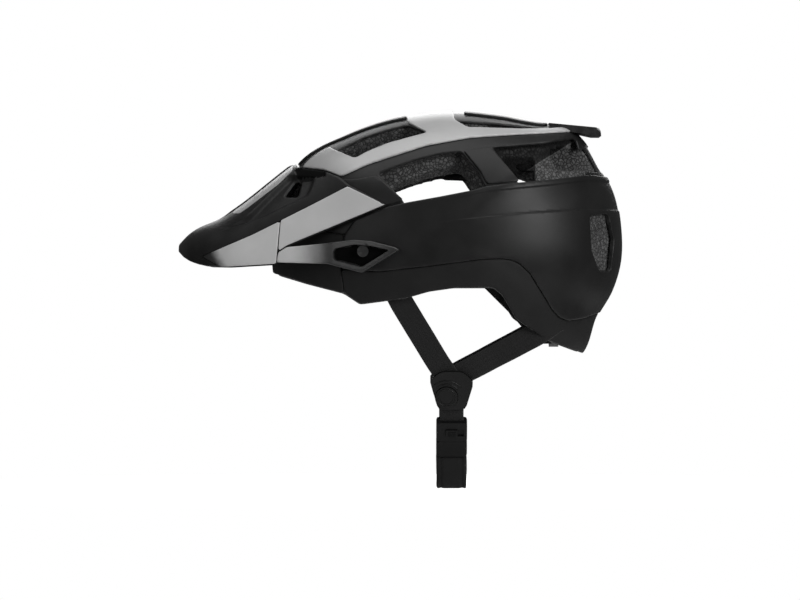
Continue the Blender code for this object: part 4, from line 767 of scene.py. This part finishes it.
# %% [markdown]
# ## The peak's own surface
# The peak is an arch that is narrow at the nose and wide at the mounts. Each station along
# it is half a superellipse on short straight skirts, and the points are spread evenly
# round each station, so the squares stay square. The black body, the light plates and the
# two arms are all cut from this one sheet.

# %% Peak sheet
PEAK_TOP = [(-230.5, -77.0), (-224.0, -70.0), (-188.5, -51.0), (-129.0, -6.0), (-92.0, 18.0), (-60.0, 33.0),
            (-38.0, 40.0)]
PEAK_HALF_WIDTH = [
    (-230.5, 20.0), (-224.0, 42.0), (-208.0, 62.0), (-188.5, 74.0), (-161.5, 81.5), (-129.0, 87.0),
    (-102.0, 92.5), (-73.0, 102.0), (-53.5, 108.0), (-38.0, 111.0),
]
PEAK_EDGE, PEAK_SKIRT, PEAK_ROUNDNESS = -95.0, 12.0, 2.6


def peak_sheet(stations, around):
    rows = []
    for station in stations:
        half, top = (float(smooth_curve(table, station)) for table in (PEAK_HALF_WIDTH, PEAK_TOP))
        turn = np.linspace(0, math.pi, 721)
        c, s = np.cos(turn), np.sin(turn)
        wide = -np.sign(c) * abs(c) ** (2 / PEAK_ROUNDNESS) * half
        tall = PEAK_EDGE + s ** (2 / PEAK_ROUNDNESS) * (top - PEAK_EDGE)
        wide = np.concatenate([[wide[0]], wide, [wide[-1]]])
        tall = np.concatenate([[PEAK_EDGE - PEAK_SKIRT], tall, [PEAK_EDGE - PEAK_SKIRT]])
        run = np.concatenate([[0], np.cumsum(np.hypot(np.diff(wide), np.diff(tall)))])
        even = np.linspace(0, run[-1], around + 1)
        row = [np.full(around + 1, station), np.interp(even, run, wide), np.interp(even, run, tall)]
        rows.append(np.stack(row, 1))
    points = np.concatenate(rows) * MM
    return facing_out(points, grid_quads(np.arange(len(points)).reshape(len(rows), -1)), (0, 0, 1))


stations = np.concatenate([np.linspace(-230.5, -222.0, 9)[:-1], np.linspace(-222.0, -38.0, 108)])
peak = peak_sheet(stations, 150)
over_form = height_over_form(peak.points)
print(len(peak.faces), "squares on the peak")

# %% [markdown]
# ## Peak body, light plates and arms
# The body is 3 mm thick and thins where it comes close to the helmet. Two long scoops lead
# air up to the forehead openings, and shallow beds hold the light plates, so the plates
# lie flush with a fine dark line round them. The arms swell outward into the mounts.

# %% Peak body
# A near-black, matte finish that is painted shade: it darkens the intake and the mount cavities, where shade
# falls.
recess_shade_black = moulded("painted_recess_shade", 0.0012, 0.0022, 0.85, 1500.0, 0.00010, 0.0, Specular_IOR_Level=0.06)


def painted(obj, finish, outline, inset):
    """Gives the faces inside a side outline a second finish, near-black painted shade in a recess."""
    mesh = obj.data
    centres = np.array([tuple(face.center) for face in mesh.polygons])
    inside = edge_distance(Sheet(centres, [], centres), outline) > inset
    mesh.materials.append(finish)
    mesh.polygons.foreach_set("material_index", inside.astype(np.int32))


PEAK_OUTLINE = [
    (-240.0, -72.0), (-240.0, 60.0), (-131.0, 60.0), (-130.5, -10.0), (-106.0, -14.5), (-93.0, -19.5),
    (-85.0, -26.5), (-53.5, -43.5), (-102.0, -64.0), (-120.5, -71.5), (-137.0, -78.5), (-143.0, -92.5),
    (-188.0, -95.2), (-204.0, -95.0), (-212.0, -93.2), (-219.5, -90.6), (-225.5, -87.0), (-229.5, -83.0),
]
SIDE_PLATE = [(-208.5, -86.5), (-166.0, -68.5), (-142.6, -57.0), (-146.2, -96.0), (-188.0, -98.0)]
REAR_PLATE = [(-142.0, -56.5), (-115.0, -43.0), (-86.0, -28.0), (-55.0, -43.5), (-102.0, -63.0),
              (-120.5, -70.5), (-136.5, -77.2), (-143.9, -82.0)]
CENTRE_PLATE = [(-184.0, -40.0), (-133.0, 10.0), (-133.0, -14.0), (-150.0, -31.0), (-169.0, -50.0),
                (-183.0, -50.0)]
INTAKE = [(-131.0, -13.0), (-121.0, -9.5), (-104.0, -14.5), (-104.0, -20.0), (-118.0, -21.5), (-129.0, -22.0)]
SCOOP = [(-196.0, -66.0), (-170.0, -52.0), (-151.0, -33.0), (-134.0, -17.0), (-112.0, -18.5), (-118.0, -36.0),
         (-160.0, -56.0)]
SCOOP_VENT = [(-141.0, -34.0), (-132.0, -20.5), (-126.0, -20.5), (-129.0, -35.0)]
ARM = [(-144.0, -83.2), (-137.0, -78.8), (-102.0, -75.5), (-80.0, -73.0), (-66.0, -74.0), (-41.0, -80.5),
       (-73.0, -100.5), (-102.0, -93.0), (-145.5, -91.5)]
CAVITY = [(-97.0, -80.5), (-80.0, -76.8), (-66.0, -77.8), (-50.0, -81.6), (-73.0, -96.0), (-97.0, -89.8)]
WALL, BED, CLEARANCE = 0.0030, 0.0016, 0.0012

px, py, pz = peak.points.T
nose_inside = (px - px.min()) + 1e-6
clear_inside = over_form - CLEARANCE - 0.0012
arm_inside = edge_distance(peak, ARM)
plates = {"side": edge_distance(peak, SIDE_PLATE), "rear": edge_distance(peak, REAR_PLATE)}
centre_inside = inside_all(edge_distance(peak, CENTRE_PLATE), 0.0495 - abs(py), abs(py) - 0.0085)
bed_inside = np.maximum.reduce([plates["side"], plates["rear"], centre_inside]) + SEAM * MM
scoop_inside = edge_distance(peak, softened(SCOOP, 5.0))
intake_inside = edge_distance(peak, softened(INTAKE, 2.0))
vent_inside = only(abs(py) > 0.02, edge_distance(peak, softened(SCOOP_VENT, 2.5)))
body_inside = inside_all(edge_distance(peak, PEAK_OUTLINE), nose_inside, clear_inside, -vent_inside,
                         -(arm_inside + 0.0006))

sheet = panel_sheet(body_inside, 0.0016, peak, 0.0010, more=[
    ("bed", bed_inside, (0.0, 0.0002)), ("scoop", scoop_inside, (0.0, 0.0012, 0.0030)),
    ("intake", intake_inside, (0.0, 0.0008)), ("over", over_form, ())])
n = sheet.numbers
bed = BED * smooth_step(n["bed"], 0.0, 0.0002)
hollow = 0.0036 * smooth_step(n["scoop"], 0.0, 0.0042) + 0.0012 * smooth_step(n["intake"], 0.0, 0.0012)
hollow *= 1 - smooth_step(n["bed"], -0.0004, 0.0)
keel = 1 - smooth_step(abs(sheet.points[:, 1]), 0.0045, 0.0080)
keel *= smooth_step(sheet.points[:, 0], -0.200, -0.182)
room = np.clip(n["over"] - CLEARANCE, 0.0006, 1)
back = np.minimum(np.maximum(WALL, bed + hollow + 0.0013), room)
peak_body = walled("peak_body", sheet, bed + hollow - 0.0015 * keel, back, 0.0016, 0.0010)
wear_piece(peak_body, satin_black, "visor_body")
# The intake is darkened with painted shade.
painted(peak_body, recess_shade_black, INTAKE, 0.0006)
print("peak body", len(peak_body.data.polygons), "faces")

# %% [markdown]
# The light plates darken to black at the nose, where their surface turns to the front, and the arms darken
# from grey at the notch to black at the mount, where they curve in. Both darkenings are painted shade.
# A fade is a share worked out from the place along the piece, with a little noise so that its edge is soft.

# %% Greys with painted shade


def shade_faded_grey(name, start, end, slope=0.0):
    """Light grey that turns black between two places along the helmet, in metres, as painted shade."""
    look = Finish(name, Coat_Weight=0.15, Coat_Roughness=0.22)
    mottle = look.noise(38.0, 4.0)
    along = look.axis(0) + look.axis(2) * slope + (look.noise(260.0, 3.0) - 0.5) * 0.003
    # black is the share of painted shade, from the place along the piece.
    black = along.ramp(min(start, end), max(start, end))
    if start > end:
        black = 1 - black
    pale = look.blend(mottle.ramp(0.3, 0.7), grey(0.410), grey(0.445))
    pale = look.blend(worn_edge(look, 0.0010, 0.3), pale, grey(0.62))
    rough = 0.40 + (mottle - 0.5) * 0.10 + (look.noise(1500.0, 1.0) - 0.5) * 0.08
    height = mould_grain(look, 2400.0, 1900.0)
    return look.dress(look.blend(black, pale, grey(0.012)), rough, height, 0.00004, 0.55)


# Both greys darken to black with painted shade: the plates at the nose, the arms towards the mounts.
plate_grey_painted_shade = shade_faded_grey("plate_grey_with_painted_shade", -0.2365, -0.2480, 0.55)
arm_grey_painted_shade = shade_faded_grey("arm_grey_with_painted_shade", -0.1360, -0.0980)
print("two shadowed fades")

# %% Light plates
PLATE_DEPTHS, PLATE_EDGE = (0.0, BED - SEAM * MM), 0.0005
for label, side in (("left", -1), ("right", 1)):
    for part, node in (("side", "visor_side_panel"), ("rear", "visor_rear_panel")):
        whole = inside_all(plates[part], edge_distance(peak, PEAK_OUTLINE), clear_inside - 0.0004)
        inside = only(side * py > 0, whole)
        panel(f"{part}_plate_{label}", f"{node}_{label}", plate_grey_painted_shade, inside, PLATE_DEPTHS, PLATE_EDGE, peak)
    inside = only(side * py > 0, centre_inside)
    node = f"visor_centre_insert_{label}"
    panel(f"centre_plate_{label}", node, light_grey, inside, PLATE_DEPTHS, PLATE_EDGE, peak)
print("three plates on each side")

# %% Arms and mounts
cavity_inside = edge_distance(peak, softened(CAVITY, 2.5))
for label, side in (("left", -1), ("right", 1)):
    inside = inside_all(only(side * py > 0, arm_inside), clear_inside)
    sheet = panel_sheet(inside, 0.0012, peak, 0.0008, more=[
        ("cavity", cavity_inside, (0.0, 0.0005, 0.0012)), ("over", over_form, ())])
    n = sheet.numbers
    ax = sheet.points[:, 0]
    swell = 0.0030 * smooth_step(ax, -0.112, -0.094)
    deep = (swell + 0.0018) * smooth_step(n["cavity"], 0.0, 0.0012)
    room = np.clip(n["over"] - CLEARANCE, 0.0006, 1)
    arm = walled(f"arm_{label}", sheet, deep - swell, np.minimum(WALL, room), 0.0012, 0.0008)
    wear_piece(arm, arm_grey_painted_shade, f"visor_arm_{label}")
    # The mount cavity is darkened with painted shade.
    painted(arm, recess_shade_black, CAVITY, 0.0009)
print("arms", len(arm.data.polygons), "faces each")

# %% [markdown]
# ## Foam body
# The body of a helmet is moulded from foam beads. The imported solid has the right passages
# but knife-sharp edges, so a copy of it is rebuilt from small voxels and smoothed, which
# rounds every edge as a mould does. The beads are cells a few millimetres wide: a bump for
# their domes, darker seams between them, and a few beads that caught more of the dye.
# Behind the rear side opening the foam above the lip of a deep channel is darkened with painted shade, and a
# painted highlight runs along the lip.

# %% Bead foam
bead_foam = Finish("bead_foam", Specular_IOR_Level=0.35)
warped = bead_foam.add("VectorMath", {"operation": "ADD"}, {
    0: bead_foam.place(),
    1: bead_foam.add("VectorMath", {"operation": "SCALE"}, {
        0: bead_foam.add("TexNoise", inputs={"Vector": bead_foam.place(), "Scale": 120.0}, out="Color"),
        "Scale": 0.0012})})
bead = bead_foam.cells(340.0, vector=warped)
seam = bead_foam.cells(340.0, "DISTANCE_TO_EDGE", vector=warped)
shade_of_bead = bead_foam.axis(0, bead_foam.cells(340.0, vector=warped, out="Color"))
groove = 1 - seam.ramp(0.0, 0.16)
pit = bead_foam.noise(900.0, 2.0).ramp(0.62, 0.75)
bead_colour = bead_foam.blend(shade_of_bead, grey(0.045), grey(0.105))
bead_colour = bead_foam.blend(groove * 0.85, bead_colour, grey(0.010))
bead_colour = bead_foam.blend(pit * 0.5, bead_colour, grey(0.014))
# Painted shade: above a slanted line behind the rear side opening the foam turns near black, and a painted
# highlight lightens a band along that line.
over_lip = bead_foam.axis(2) - bead_foam.axis(0) * 0.628 + 0.0544
painted_channel_shade = over_lip.ramp(-0.0005, 0.0005) * bead_foam.axis(0).ramp(0.030, 0.034)
painted_lip_highlight = over_lip.ramp(-0.0018, -0.0008) * (1 - painted_channel_shade) * bead_foam.axis(0).ramp(0.060, 0.066)
bead_colour = bead_foam.blend(painted_lip_highlight * 0.45, bead_colour, grey(0.13))
bead_colour = bead_foam.blend(painted_channel_shade * 0.94, bead_colour, grey(0.002))
bead_height = (1 - bead * bead) * 0.8 - groove * 0.7 - pit * 0.25
bead_foam.dress(bead_colour, 0.72 + groove * 0.2 - shade_of_bead * 0.12, bead_height, 0.0006, 0.9)


def remeshed(name, node, voxel):
    """A copy of a solid, rebuilt from even squares and smoothed."""
    mesh = nodes[node].data.copy()
    obj = bpy.data.objects.new(name, mesh)
    bpy.context.collection.objects.link(obj)
    obj.data.materials.clear()
    remesh = obj.modifiers.new("voxels", "REMESH")
    remesh.mode = "VOXEL"
    remesh.voxel_size = voxel
    smooth = obj.modifiers.new("soften", "SMOOTH")
    smooth.factor = 0.5
    smooth.iterations = 3
    return settled(obj)


def settled(obj):
    """Applies a piece's modifiers to its mesh."""
    graph = bpy.context.evaluated_depsgraph_get()
    graph.update()
    mesh = bpy.data.meshes.new_from_object(obj.evaluated_get(graph), depsgraph=graph)
    obj.modifiers.clear()
    obj.data = mesh
    mesh.shade_smooth()
    return obj


foam = remeshed("bead_foam_body", "foam_liner", 0.0021)
wear_piece(foam, bead_foam.material, "foam_liner")
print("foam body", len(foam.data.polygons), "faces")

# %% [markdown]
# ## Small moulded parts
# Splitters, buckle, dial, screws and the fit system are small hard parts. Their solids are
# right but for their edges, so each gets a copy with every sharp edge bevelled over three
# steps. Without that no edge would catch the light, and they would look like paper.

# %% Bevelled copies


def bevelled(name, node, width, finish):
    """A copy of a solid with its sharp edges rounded."""
    obj = bpy.data.objects.new(name, nodes[node].data.copy())
    bpy.context.collection.objects.link(obj)
    bevel = obj.modifiers.new("edges", "BEVEL")
    bevel.width = width
    bevel.segments = 3
    bevel.limit_method = "ANGLE"
    bevel.angle_limit = math.radians(28)
    settled(obj)
    obj.data.set_sharp_from_angle(angle=math.radians(42))
    wear_piece(obj, finish, node)
    return obj


hard_black = moulded("hard_black_nylon", 0.0045, 0.0070, 0.38, 1900.0, 0.00006, 0.0, Specular_IOR_Level=0.22)
dial_grey = moulded("dial_grey_nylon", 0.115, 0.135, 0.46, 1700.0, 0.00007, 0.0)
soft_rubber = moulded("soft_black_rubber", 0.0070, 0.0100, 0.78, 1300.0, 0.00012, 0.0,
                      Specular_IOR_Level=0.25)

bevelled("tail_lip", "tail_spoiler", 0.0008, satin_black)
for node, width in (("height_rail", 0.0005), ("occipital_cradle", 0.0006), ("dial_housing", 0.0008),
                    ("buckle_base", 0.0009), ("buckle_plug", 0.0009)):
    bevelled(node + "_part", node, width, hard_black)
bevelled("fit_dial_part", "fit_dial", 0.0004, dial_grey)
bevelled("buckle_slider_part", "buckle_slider", 0.0003, hard_black)
bevelled("strap_keeper_ring", "strap_keeper", 0.0006, soft_rubber)
for label in ("left", "right"):
    bevelled(f"headband_{label}", f"headband_arm_{label}", 0.0004, matte_black)
    bevelled(f"temple_clip_{label}", f"temple_anchor_{label}", 0.0003, matte_black)
    bevelled(f"rack_{label}", f"fit_rack_{label}", 0.0002, hard_black)
    bevelled(f"splitter_{label}", f"splitter_body_{label}", 0.0008, hard_black)
    bevelled(f"splitter_button_{label}", f"splitter_cam_{label}", 0.0006, hard_black)
print("small parts bevelled")

# %% Dark metal
dark_metal = Finish("dark_plated_metal", Metallic=1.0)
turned = dark_metal.noise(700.0, 3.0)
spots = dark_metal.noise(90.0, 3.0).ramp(0.45, 0.7)
dark_metal.dress(dark_metal.blend(spots, grey(0.09), grey(0.15)), 0.30 + turned * 0.14, turned, 0.00005, 0.5)
for label in ("left", "right"):
    bevelled(f"mount_screw_{label}", f"pivot_screw_{label}", 0.0004, dark_metal.material)
    bevelled(f"mount_bush_{label}", f"pivot_bush_{label}", 0.0003, dark_metal.material)
print("screws and bushes plated")

# %% [markdown]
# ## Webbing
# Straps are woven, not moulded. Each is a flat ribbon with rounded edges that follows the
# packed route, with the corners eased because webbing can't fold sharply. Two numbers go
# onto every point, how far along and how far across it lies, and the weave is a
# herringbone of ribs worked out from those two, with a plain selvedge down both edges.

# %% Woven nylon
nylon = Finish("woven_black_nylon", Specular_IOR_Level=0.22, Sheen_Weight=0.12)
run, sideways = nylon.number("along"), nylon.number("across")
zigzag = nylon.add("Math", {"operation": "PINGPONG"}, {0: sideways + 0.05, 1: 0.0024})
RIBS, THREADS = 4200.0, 5200.0
ribs = nylon.sine((run + zigzag) * RIBS)
threads = nylon.sine(sideways * THREADS)
selvedge = 1 - nylon.rim().ramp(0.0009, 0.0013)
weave = (ribs * (1 - selvedge) + selvedge * nylon.sine(run * THREADS)) * 0.5 + 0.5
fuzz = nylon.noise(2600.0, 2.0)
thread_shade = nylon.blend(weave * 0.8 + fuzz * 0.2, grey(0.0022), grey(0.0100))
thread_shade = nylon.blend(selvedge * 0.5, thread_shade, grey(0.0150))
nylon.dress(thread_shade, 0.66 + fuzz * 0.16, weave + threads * 0.2, 0.00022, 0.8)

STRAP_WIDTH, STRAP_THICKNESS = 0.0200, 0.0016


def eased(rows, step=0.0016, rounds=10):
    """Evenly spaced rows through the chosen ones, with the corners eased."""
    rows = np.array(rows, dtype=float)
    travelled = np.concatenate([[0.0], np.cumsum(np.linalg.norm(np.diff(rows[:, :3], axis=0), axis=1))])
    at = np.linspace(0.0, travelled[-1], max(4, int(travelled[-1] / step)))
    spread = np.stack([np.interp(at, travelled, column) for column in rows.T], axis=1)
    for _ in range(rounds):
        spread[1:-1] = (spread[:-2] + 2 * spread[1:-1] + spread[2:]) / 4
    return at, spread


def flat_section(width, thickness):
    """Flat oval: straight faces with half-round edges, as across and out."""
    half, radius = width / 2 - thickness / 2, thickness / 2
    section = [(s, radius) for s in np.linspace(-half, half, 11)]
    section += [(half + radius * math.sin(a), radius * math.cos(a)) for a in np.linspace(0.5, 2.64, 4)]
    section += [(s, -radius) for s in np.linspace(half, -half, 11)]
    section += [(-half - radius * math.sin(a), -radius * math.cos(a)) for a in np.linspace(0.5, 2.64, 4)]
    return section


def skin_over(count, around, closed=False):
    """The squares between rings of points, with a lid on each open end."""
    near = np.arange(count * around).reshape(count, around)
    ahead = np.roll(near, -1, axis=0)
    if not closed:
        near, ahead = near[:-1], ahead[:-1]
    squares = np.stack([near, np.roll(near, -1, 1), np.roll(ahead, -1, 1), ahead], -1).reshape(-1, 4)
    lids = [] if closed else [tuple(range(around))[::-1], tuple(range((count - 1) * around, count * around))]
    return [tuple(square) for square in squares.tolist()] + lids


def webbing(name, path, facing, node, wave=0.00025):
    """A strap along a path, its flat side looking the given way at each point."""
    at, rows = eased([(*p, *f) for p, f in zip(path, facing)])
    along = unit_rows(np.gradient(rows[:, :3], axis=0))
    look = unit_rows(rows[:, 3:] - along * np.sum(rows[:, 3:] * along, axis=1, keepdims=True))
    across = np.cross(along, look)
    centre = rows[:, :3] + look * (wave * np.sin(at * 210.0 + len(name)))[:, None]
    section = np.array(flat_section(STRAP_WIDTH, STRAP_THICKNESS))
    rings = centre[:, None] + across[:, None] * section[None, :, :1] + look[:, None] * section[None, :, 1:]
    strap = mesh_object(name, rings.reshape(-1, 3), skin_over(*rings.shape[:2]),
                        along=np.repeat(at, len(section)), across=np.tile(section[:, 0], len(at)),
                        rim=np.tile(STRAP_WIDTH / 2 - np.abs(section[:, 0]), len(at)))
    return wear_piece(strap, nylon.material, node)


print("straps are", STRAP_WIDTH, "m wide")

# %% The splitters' places
SPLITTER_LEAN = math.radians(20)
SPLITTER_CENTRE = (0.0015, 0.0620, -0.1980)
SPLITTER_TOP = 0.0170
MOUTH = SPLITTER_TOP - 0.0060


def splitter_out(side):
    return Vector((0, side * math.cos(SPLITTER_LEAN), -math.sin(SPLITTER_LEAN)))


def splitter_point(u, v, w, side):
    """A place on the splitter: along X, up its face, and out from its middle."""
    up = Vector((0, side * math.sin(SPLITTER_LEAN), math.cos(SPLITTER_LEAN)))
    x, y, z = SPLITTER_CENTRE
    return Vector((x + u, side * y, z)) + up * v + splitter_out(side) * w


print("splitters lean in by 20 degrees")

# %% Straps from the rim to the splitters
FRONT_TOP, FRONT_RIM = (-0.0490, -0.1080), (-0.0415, -0.1240)
REAR_TOP, REAR_RIM = (0.0900, -0.1400), (0.0730, -0.1515)


def outermost(node):
    """How far a node reaches from the middle of the helmet, to either side."""
    return max(abs(corner[1]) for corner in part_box(node))


def rim_point(place, depth, side):
    return place[0], side * depth, place[1]


for side, label in ((-1, "left"), (1, "right")):
    flat, out = Vector((0, side, 0)), splitter_out(side)
    depth = outermost(f"front_strap_{label}") - STRAP_THICKNESS / 2
    webbing(f"front_webbing_{label}", [
        rim_point(FRONT_TOP, depth, side), rim_point(FRONT_RIM, depth, side),
        splitter_point(-0.0105, SPLITTER_TOP + 0.0050, 0.0006, side),
        splitter_point(-0.0035, MOUTH + 0.0005, 0.0002, side),
    ], [flat, flat, out, out], f"front_strap_{label}")
    depth = outermost(f"rear_strap_{label}") - STRAP_THICKNESS / 2
    flat = Vector((0.3, side, 0))
    webbing(f"rear_webbing_{label}", [
        rim_point(REAR_TOP, depth - 0.0050, side), rim_point(REAR_RIM, depth, side),
        splitter_point(0.0160, SPLITTER_TOP + 0.0010, -0.0010, side),
        splitter_point(0.0050, MOUTH + 0.0008, -0.0010, side),
    ], [flat, flat, out, out], f"rear_strap_{label}")
print("four straps from the rim")

# %% Straps under the chin
CHIN_BOTTOM = -0.2795
BUCKLE_START, BUCKLE_LENGTH, BUCKLE_MOUTH = 0.0180, 0.0363, 0.0057


def chin_route(side):
    """From the splitter to the middle of the chin, in the plane of the strap."""
    top = splitter_point(0, -MOUTH - 0.0003, 0, side)
    below = splitter_point(0, -SPLITTER_TOP - 0.0020, 0, side)
    knee, corner, end = (Vector((top.x, side * y, CHIN_BOTTOM + rise))
                         for y, rise in ((0.0140, 0.0100), (0.0060, 0.0), (0.0, 0.0)))
    arc = [knee * (1 - t) ** 2 + corner * 2 * t * (1 - t) + end * t * t for t in (0.25, 0.5, 0.75)]
    return [top, below, knee] + arc + [end]


def along_route(route, distance):
    """The place at a distance down a route."""
    for a, b in zip(route, route[1:]):
        length = (b - a).length
        if distance <= length:
            return a + (b - a) * (distance / length)
        distance -= length
    return route[-1]


def outward(route, side):
    """Which way the strap's flat side looks at each point of the chin route."""
    looks = []
    for before, after in zip(route[:1] + route[:-1], route[1:] + route[-1:]):
        across = Vector((0, after.z - before.z, before.y - after.y))
        looks.append(across * (1 if across.dot(Vector((0, side, -1.2))) > 0 else -1))
    return looks


left, right = chin_route(-1), chin_route(1)
short = [left[0], left[1], along_route(left, BUCKLE_START + BUCKLE_MOUTH)]
webbing("lower_webbing_left", short, outward(short, -1), "lower_strap_left", wave=0.0)
leaving = along_route(left, BUCKLE_START + BUCKLE_LENGTH - BUCKLE_MOUTH)
under_chin = [leaving] + left[2:] + right[-2::-1]
chin_looks = outward([leaving] + left[2:], -1) + outward(right, 1)[-2::-1]
webbing("chin_webbing", under_chin, chin_looks, "chin_strap", wave=0.0)
print("two straps under the chin")

# %% [markdown]
# ## Ridges on the splitters
# Two curved ridges stand proud on each splitter's face above its round button, and the
# button has a raised ring. They are half-round strips bent along arcs.

# %% Splitter ridges


def ridge(name, points, look, radius, node, closed=False):
    """A half-round strip along a row of places, standing up the given way."""
    places = np.array([tuple(p) for p in points])
    ahead = np.gradient(places, axis=0)
    if closed:
        ahead = np.roll(places, -1, axis=0) - np.roll(places, 1, axis=0)
    across = np.cross(unit_rows(ahead), np.array(look))
    turns = np.linspace(-0.25, math.pi + 0.25, 8)[None, :, None]
    rings = places[:, None] + (across[:, None] * np.cos(turns) + np.array(look) * np.sin(turns)) * radius
    strip = mesh_object(name, rings.reshape(-1, 3), skin_over(*rings.shape[:2], closed), 180,
                        rim=np.ones(rings[..., 0].size))
    return wear_piece(strip, hard_black, node)


FACE, BUTTON_RISE = 0.0040, 0.0012
BUTTON_PLACE = (-0.0045, -0.0058)


def splitter_arc(side, radius, start, end, count, rise=0.0):
    """Places along an arc round the middle of the button, on the splitter's face."""
    u, v = BUTTON_PLACE
    return [splitter_point(u + radius * math.sin(a), v + radius * math.cos(a), FACE + rise, side)
            for a in np.linspace(start, end, count)]


for side, label in ((-1, "left"), (1, "right")):
    out = splitter_out(side)
    for k, radius in enumerate((0.0118, 0.0148)):
        arc = splitter_arc(side, radius, -0.75, 0.95, 16)
        ridge(f"splitter_ridge_{k + 1}_{label}", arc, out, 0.00065, f"splitter_body_{label}")
    ring = splitter_arc(side, 0.0076, 0, 2 * math.pi, 33, BUTTON_RISE)[:-1]
    ridge(f"button_ring_{label}", ring, out, 0.0006, f"splitter_cam_{label}", closed=True)
print("ridges and rings raised")

# %% [markdown]
# ## Pads
# Every pad is foam in a knitted cover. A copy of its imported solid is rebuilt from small
# voxels, drawn in a little, and puffed up as cloth under pressure, so its faces crown and
# its edges pull in. It may not grow towards the foam body, which it lies against. A sewn
# channel then follows the outline a few millimetres in, and the cover is a fine knit.

# %% Knitted cover
knit = Finish("knitted_pad_cover", Specular_IOR_Level=0.12, Sheen_Weight=0.12, Sheen_Roughness=0.5)
LOOPS, SLANT = 5200.0, 2600.0
loops = knit.sine(knit.axis(0) * LOOPS + knit.axis(1) * SLANT)
wales = knit.sine(knit.axis(2) * LOOPS - knit.axis(1) * SLANT)
stitch = loops * wales * 0.5 + 0.5
sewn = knit.number("seam")
lint = knit.noise(420.0, 3.0)
cover = knit.blend(stitch * 0.7 + lint * 0.3, grey(0.004), grey(0.014))
cover = knit.blend(sewn * 0.7, cover, grey(0.002))
knit.dress(cover, 0.86 + lint * 0.1, stitch + lint * 0.4, 0.00016, 0.7)
print("a knit with sewn lines")

# %% Puffing as cloth
HEAD_CENTRE = np.array([0.030, 0.0, -0.090])


def arrays(mesh):
    places, normals = np.empty(len(mesh.vertices) * 3), np.empty(len(mesh.vertices) * 3)
    mesh.vertices.foreach_get("co", places)
    mesh.vertex_normals.foreach_get("vector", normals)
    return places.reshape(-1, 3), normals.reshape(-1, 3)


def moved(mesh, places):
    mesh.vertices.foreach_set("co", places.ravel())
    mesh.update()


def towards_foam(node, places):
    """The direction in which a pad has its backing, at each point."""
    if node == "chin_pad":
        return np.zeros_like(places)
    return unit_rows(places - HEAD_CENTRE)


def puffed(pads, pressure=4.0, frames=20, most=0.0011):
    """All pads as cloth under pressure, with the movement capped."""
    scene = bpy.context.scene
    for pad in pads.values():
        cloth = pad.modifiers.new("puff", "CLOTH")
        cloth.settings.use_pressure = True
        cloth.settings.uniform_pressure_force = pressure
        cloth.settings.effector_weights.gravity = 0.0
        cloth.settings.quality = 4
        cloth.point_cache.frame_end = frames
    for frame in range(1, frames + 1):
        scene.frame_set(frame)
    graph = bpy.context.evaluated_depsgraph_get()
    results = {node: arrays(pad.evaluated_get(graph).data)[0] for node, pad in pads.items()}
    for node, pad in pads.items():
        pad.modifiers.clear()
        places, _ = arrays(pad.data)
        step = results[node] - places
        back = towards_foam(node, places)
        step -= back * np.maximum(np.sum(step * back, axis=1, keepdims=True), 0.0)
        length = np.linalg.norm(step, axis=1, keepdims=True)
        moved(pad.data, places + step * np.minimum(1.0, most / np.maximum(length, 1e-9)))
    scene.frame_set(1)


def sewn_channel(node, pad, inset=0.0034, spread=0.0009, depth=0.0007):
    """Sinks a line of stitching a little inside the outline of each face."""
    places, normals = arrays(pad.data)
    if node == "chin_pad":
        wall = np.abs(normals[:, 0]) > 0.6
    else:
        wall = np.abs(np.sum(normals * towards_foam(node, places), axis=1)) < 0.5
    tree = KDTree(int(wall.sum()))
    for i, place in enumerate(places[wall]):
        tree.insert(place, i)
    tree.balance()
    away = np.array([tree.find(place)[2] for place in places])
    line = np.exp(-((away - inset) / spread) ** 2)
    moved(pad.data, places - normals * (line * depth)[:, None])
    write_number(pad.data, "seam", line)


print("cloth puffs by up to 1.1 mm")

# %% Nine pads
PADS = ["brow_pad", "crown_pad", "chin_pad"] + [
    f"{kind}_pad_{label}" for kind in ("top_side", "temple", "rear") for label in ("left", "right")]

pads = {}
for node in PADS:
    pad = remeshed(node + "_cover", node, 0.0013 if node == "chin_pad" else 0.0019)
    places, normals = arrays(pad.data)
    moved(pad.data, places - normals * 0.0003)
    pads[node] = pad
puffed(pads)
for node, pad in pads.items():
    sewn_channel(node, pad)
    smoother = pad.modifiers.new("finer", "SUBSURF")
    smoother.levels = smoother.render_levels = 1
    settled(pad)
    wear_piece(pad, knit.material, node)
print(len(pads), "pads covered and puffed")

# %% [markdown]
# ## Floor
# A plain pale disc lies just under the lowest point. It is part of the stage, not of the
# helmet. It glows a little to the camera alone, so it goes over into the white surround.

# %% Floor
pale = Finish("pale_floor", Roughness=0.9, Emission_Strength=1.0)
pale.shader.inputs["Base Color"].default_value = (0.80, 0.80, 0.80, 1.0)
to_camera = pale.add("LightPath", out="Is Camera Ray")
pale.put(pale.shader.inputs["Emission Color"], pale.blend(to_camera, grey(0.0), grey(0.85)))
lowest = min(corner.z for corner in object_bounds())
disc = bpy.data.meshes.new("floor")
turns = np.linspace(0, 2 * math.pi, 97)[:-1]
disc.from_pydata([(middle.x + 0.46 * math.cos(a), 0.46 * math.sin(a), lowest - 0.0015) for a in turns], [],
                 [tuple(range(len(turns)))])
floor = bpy.data.objects.new("floor", disc)
bpy.context.collection.objects.link(floor)
disc.materials.append(pale.material)
floor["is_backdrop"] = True
print("floor at", round(lowest, 4))
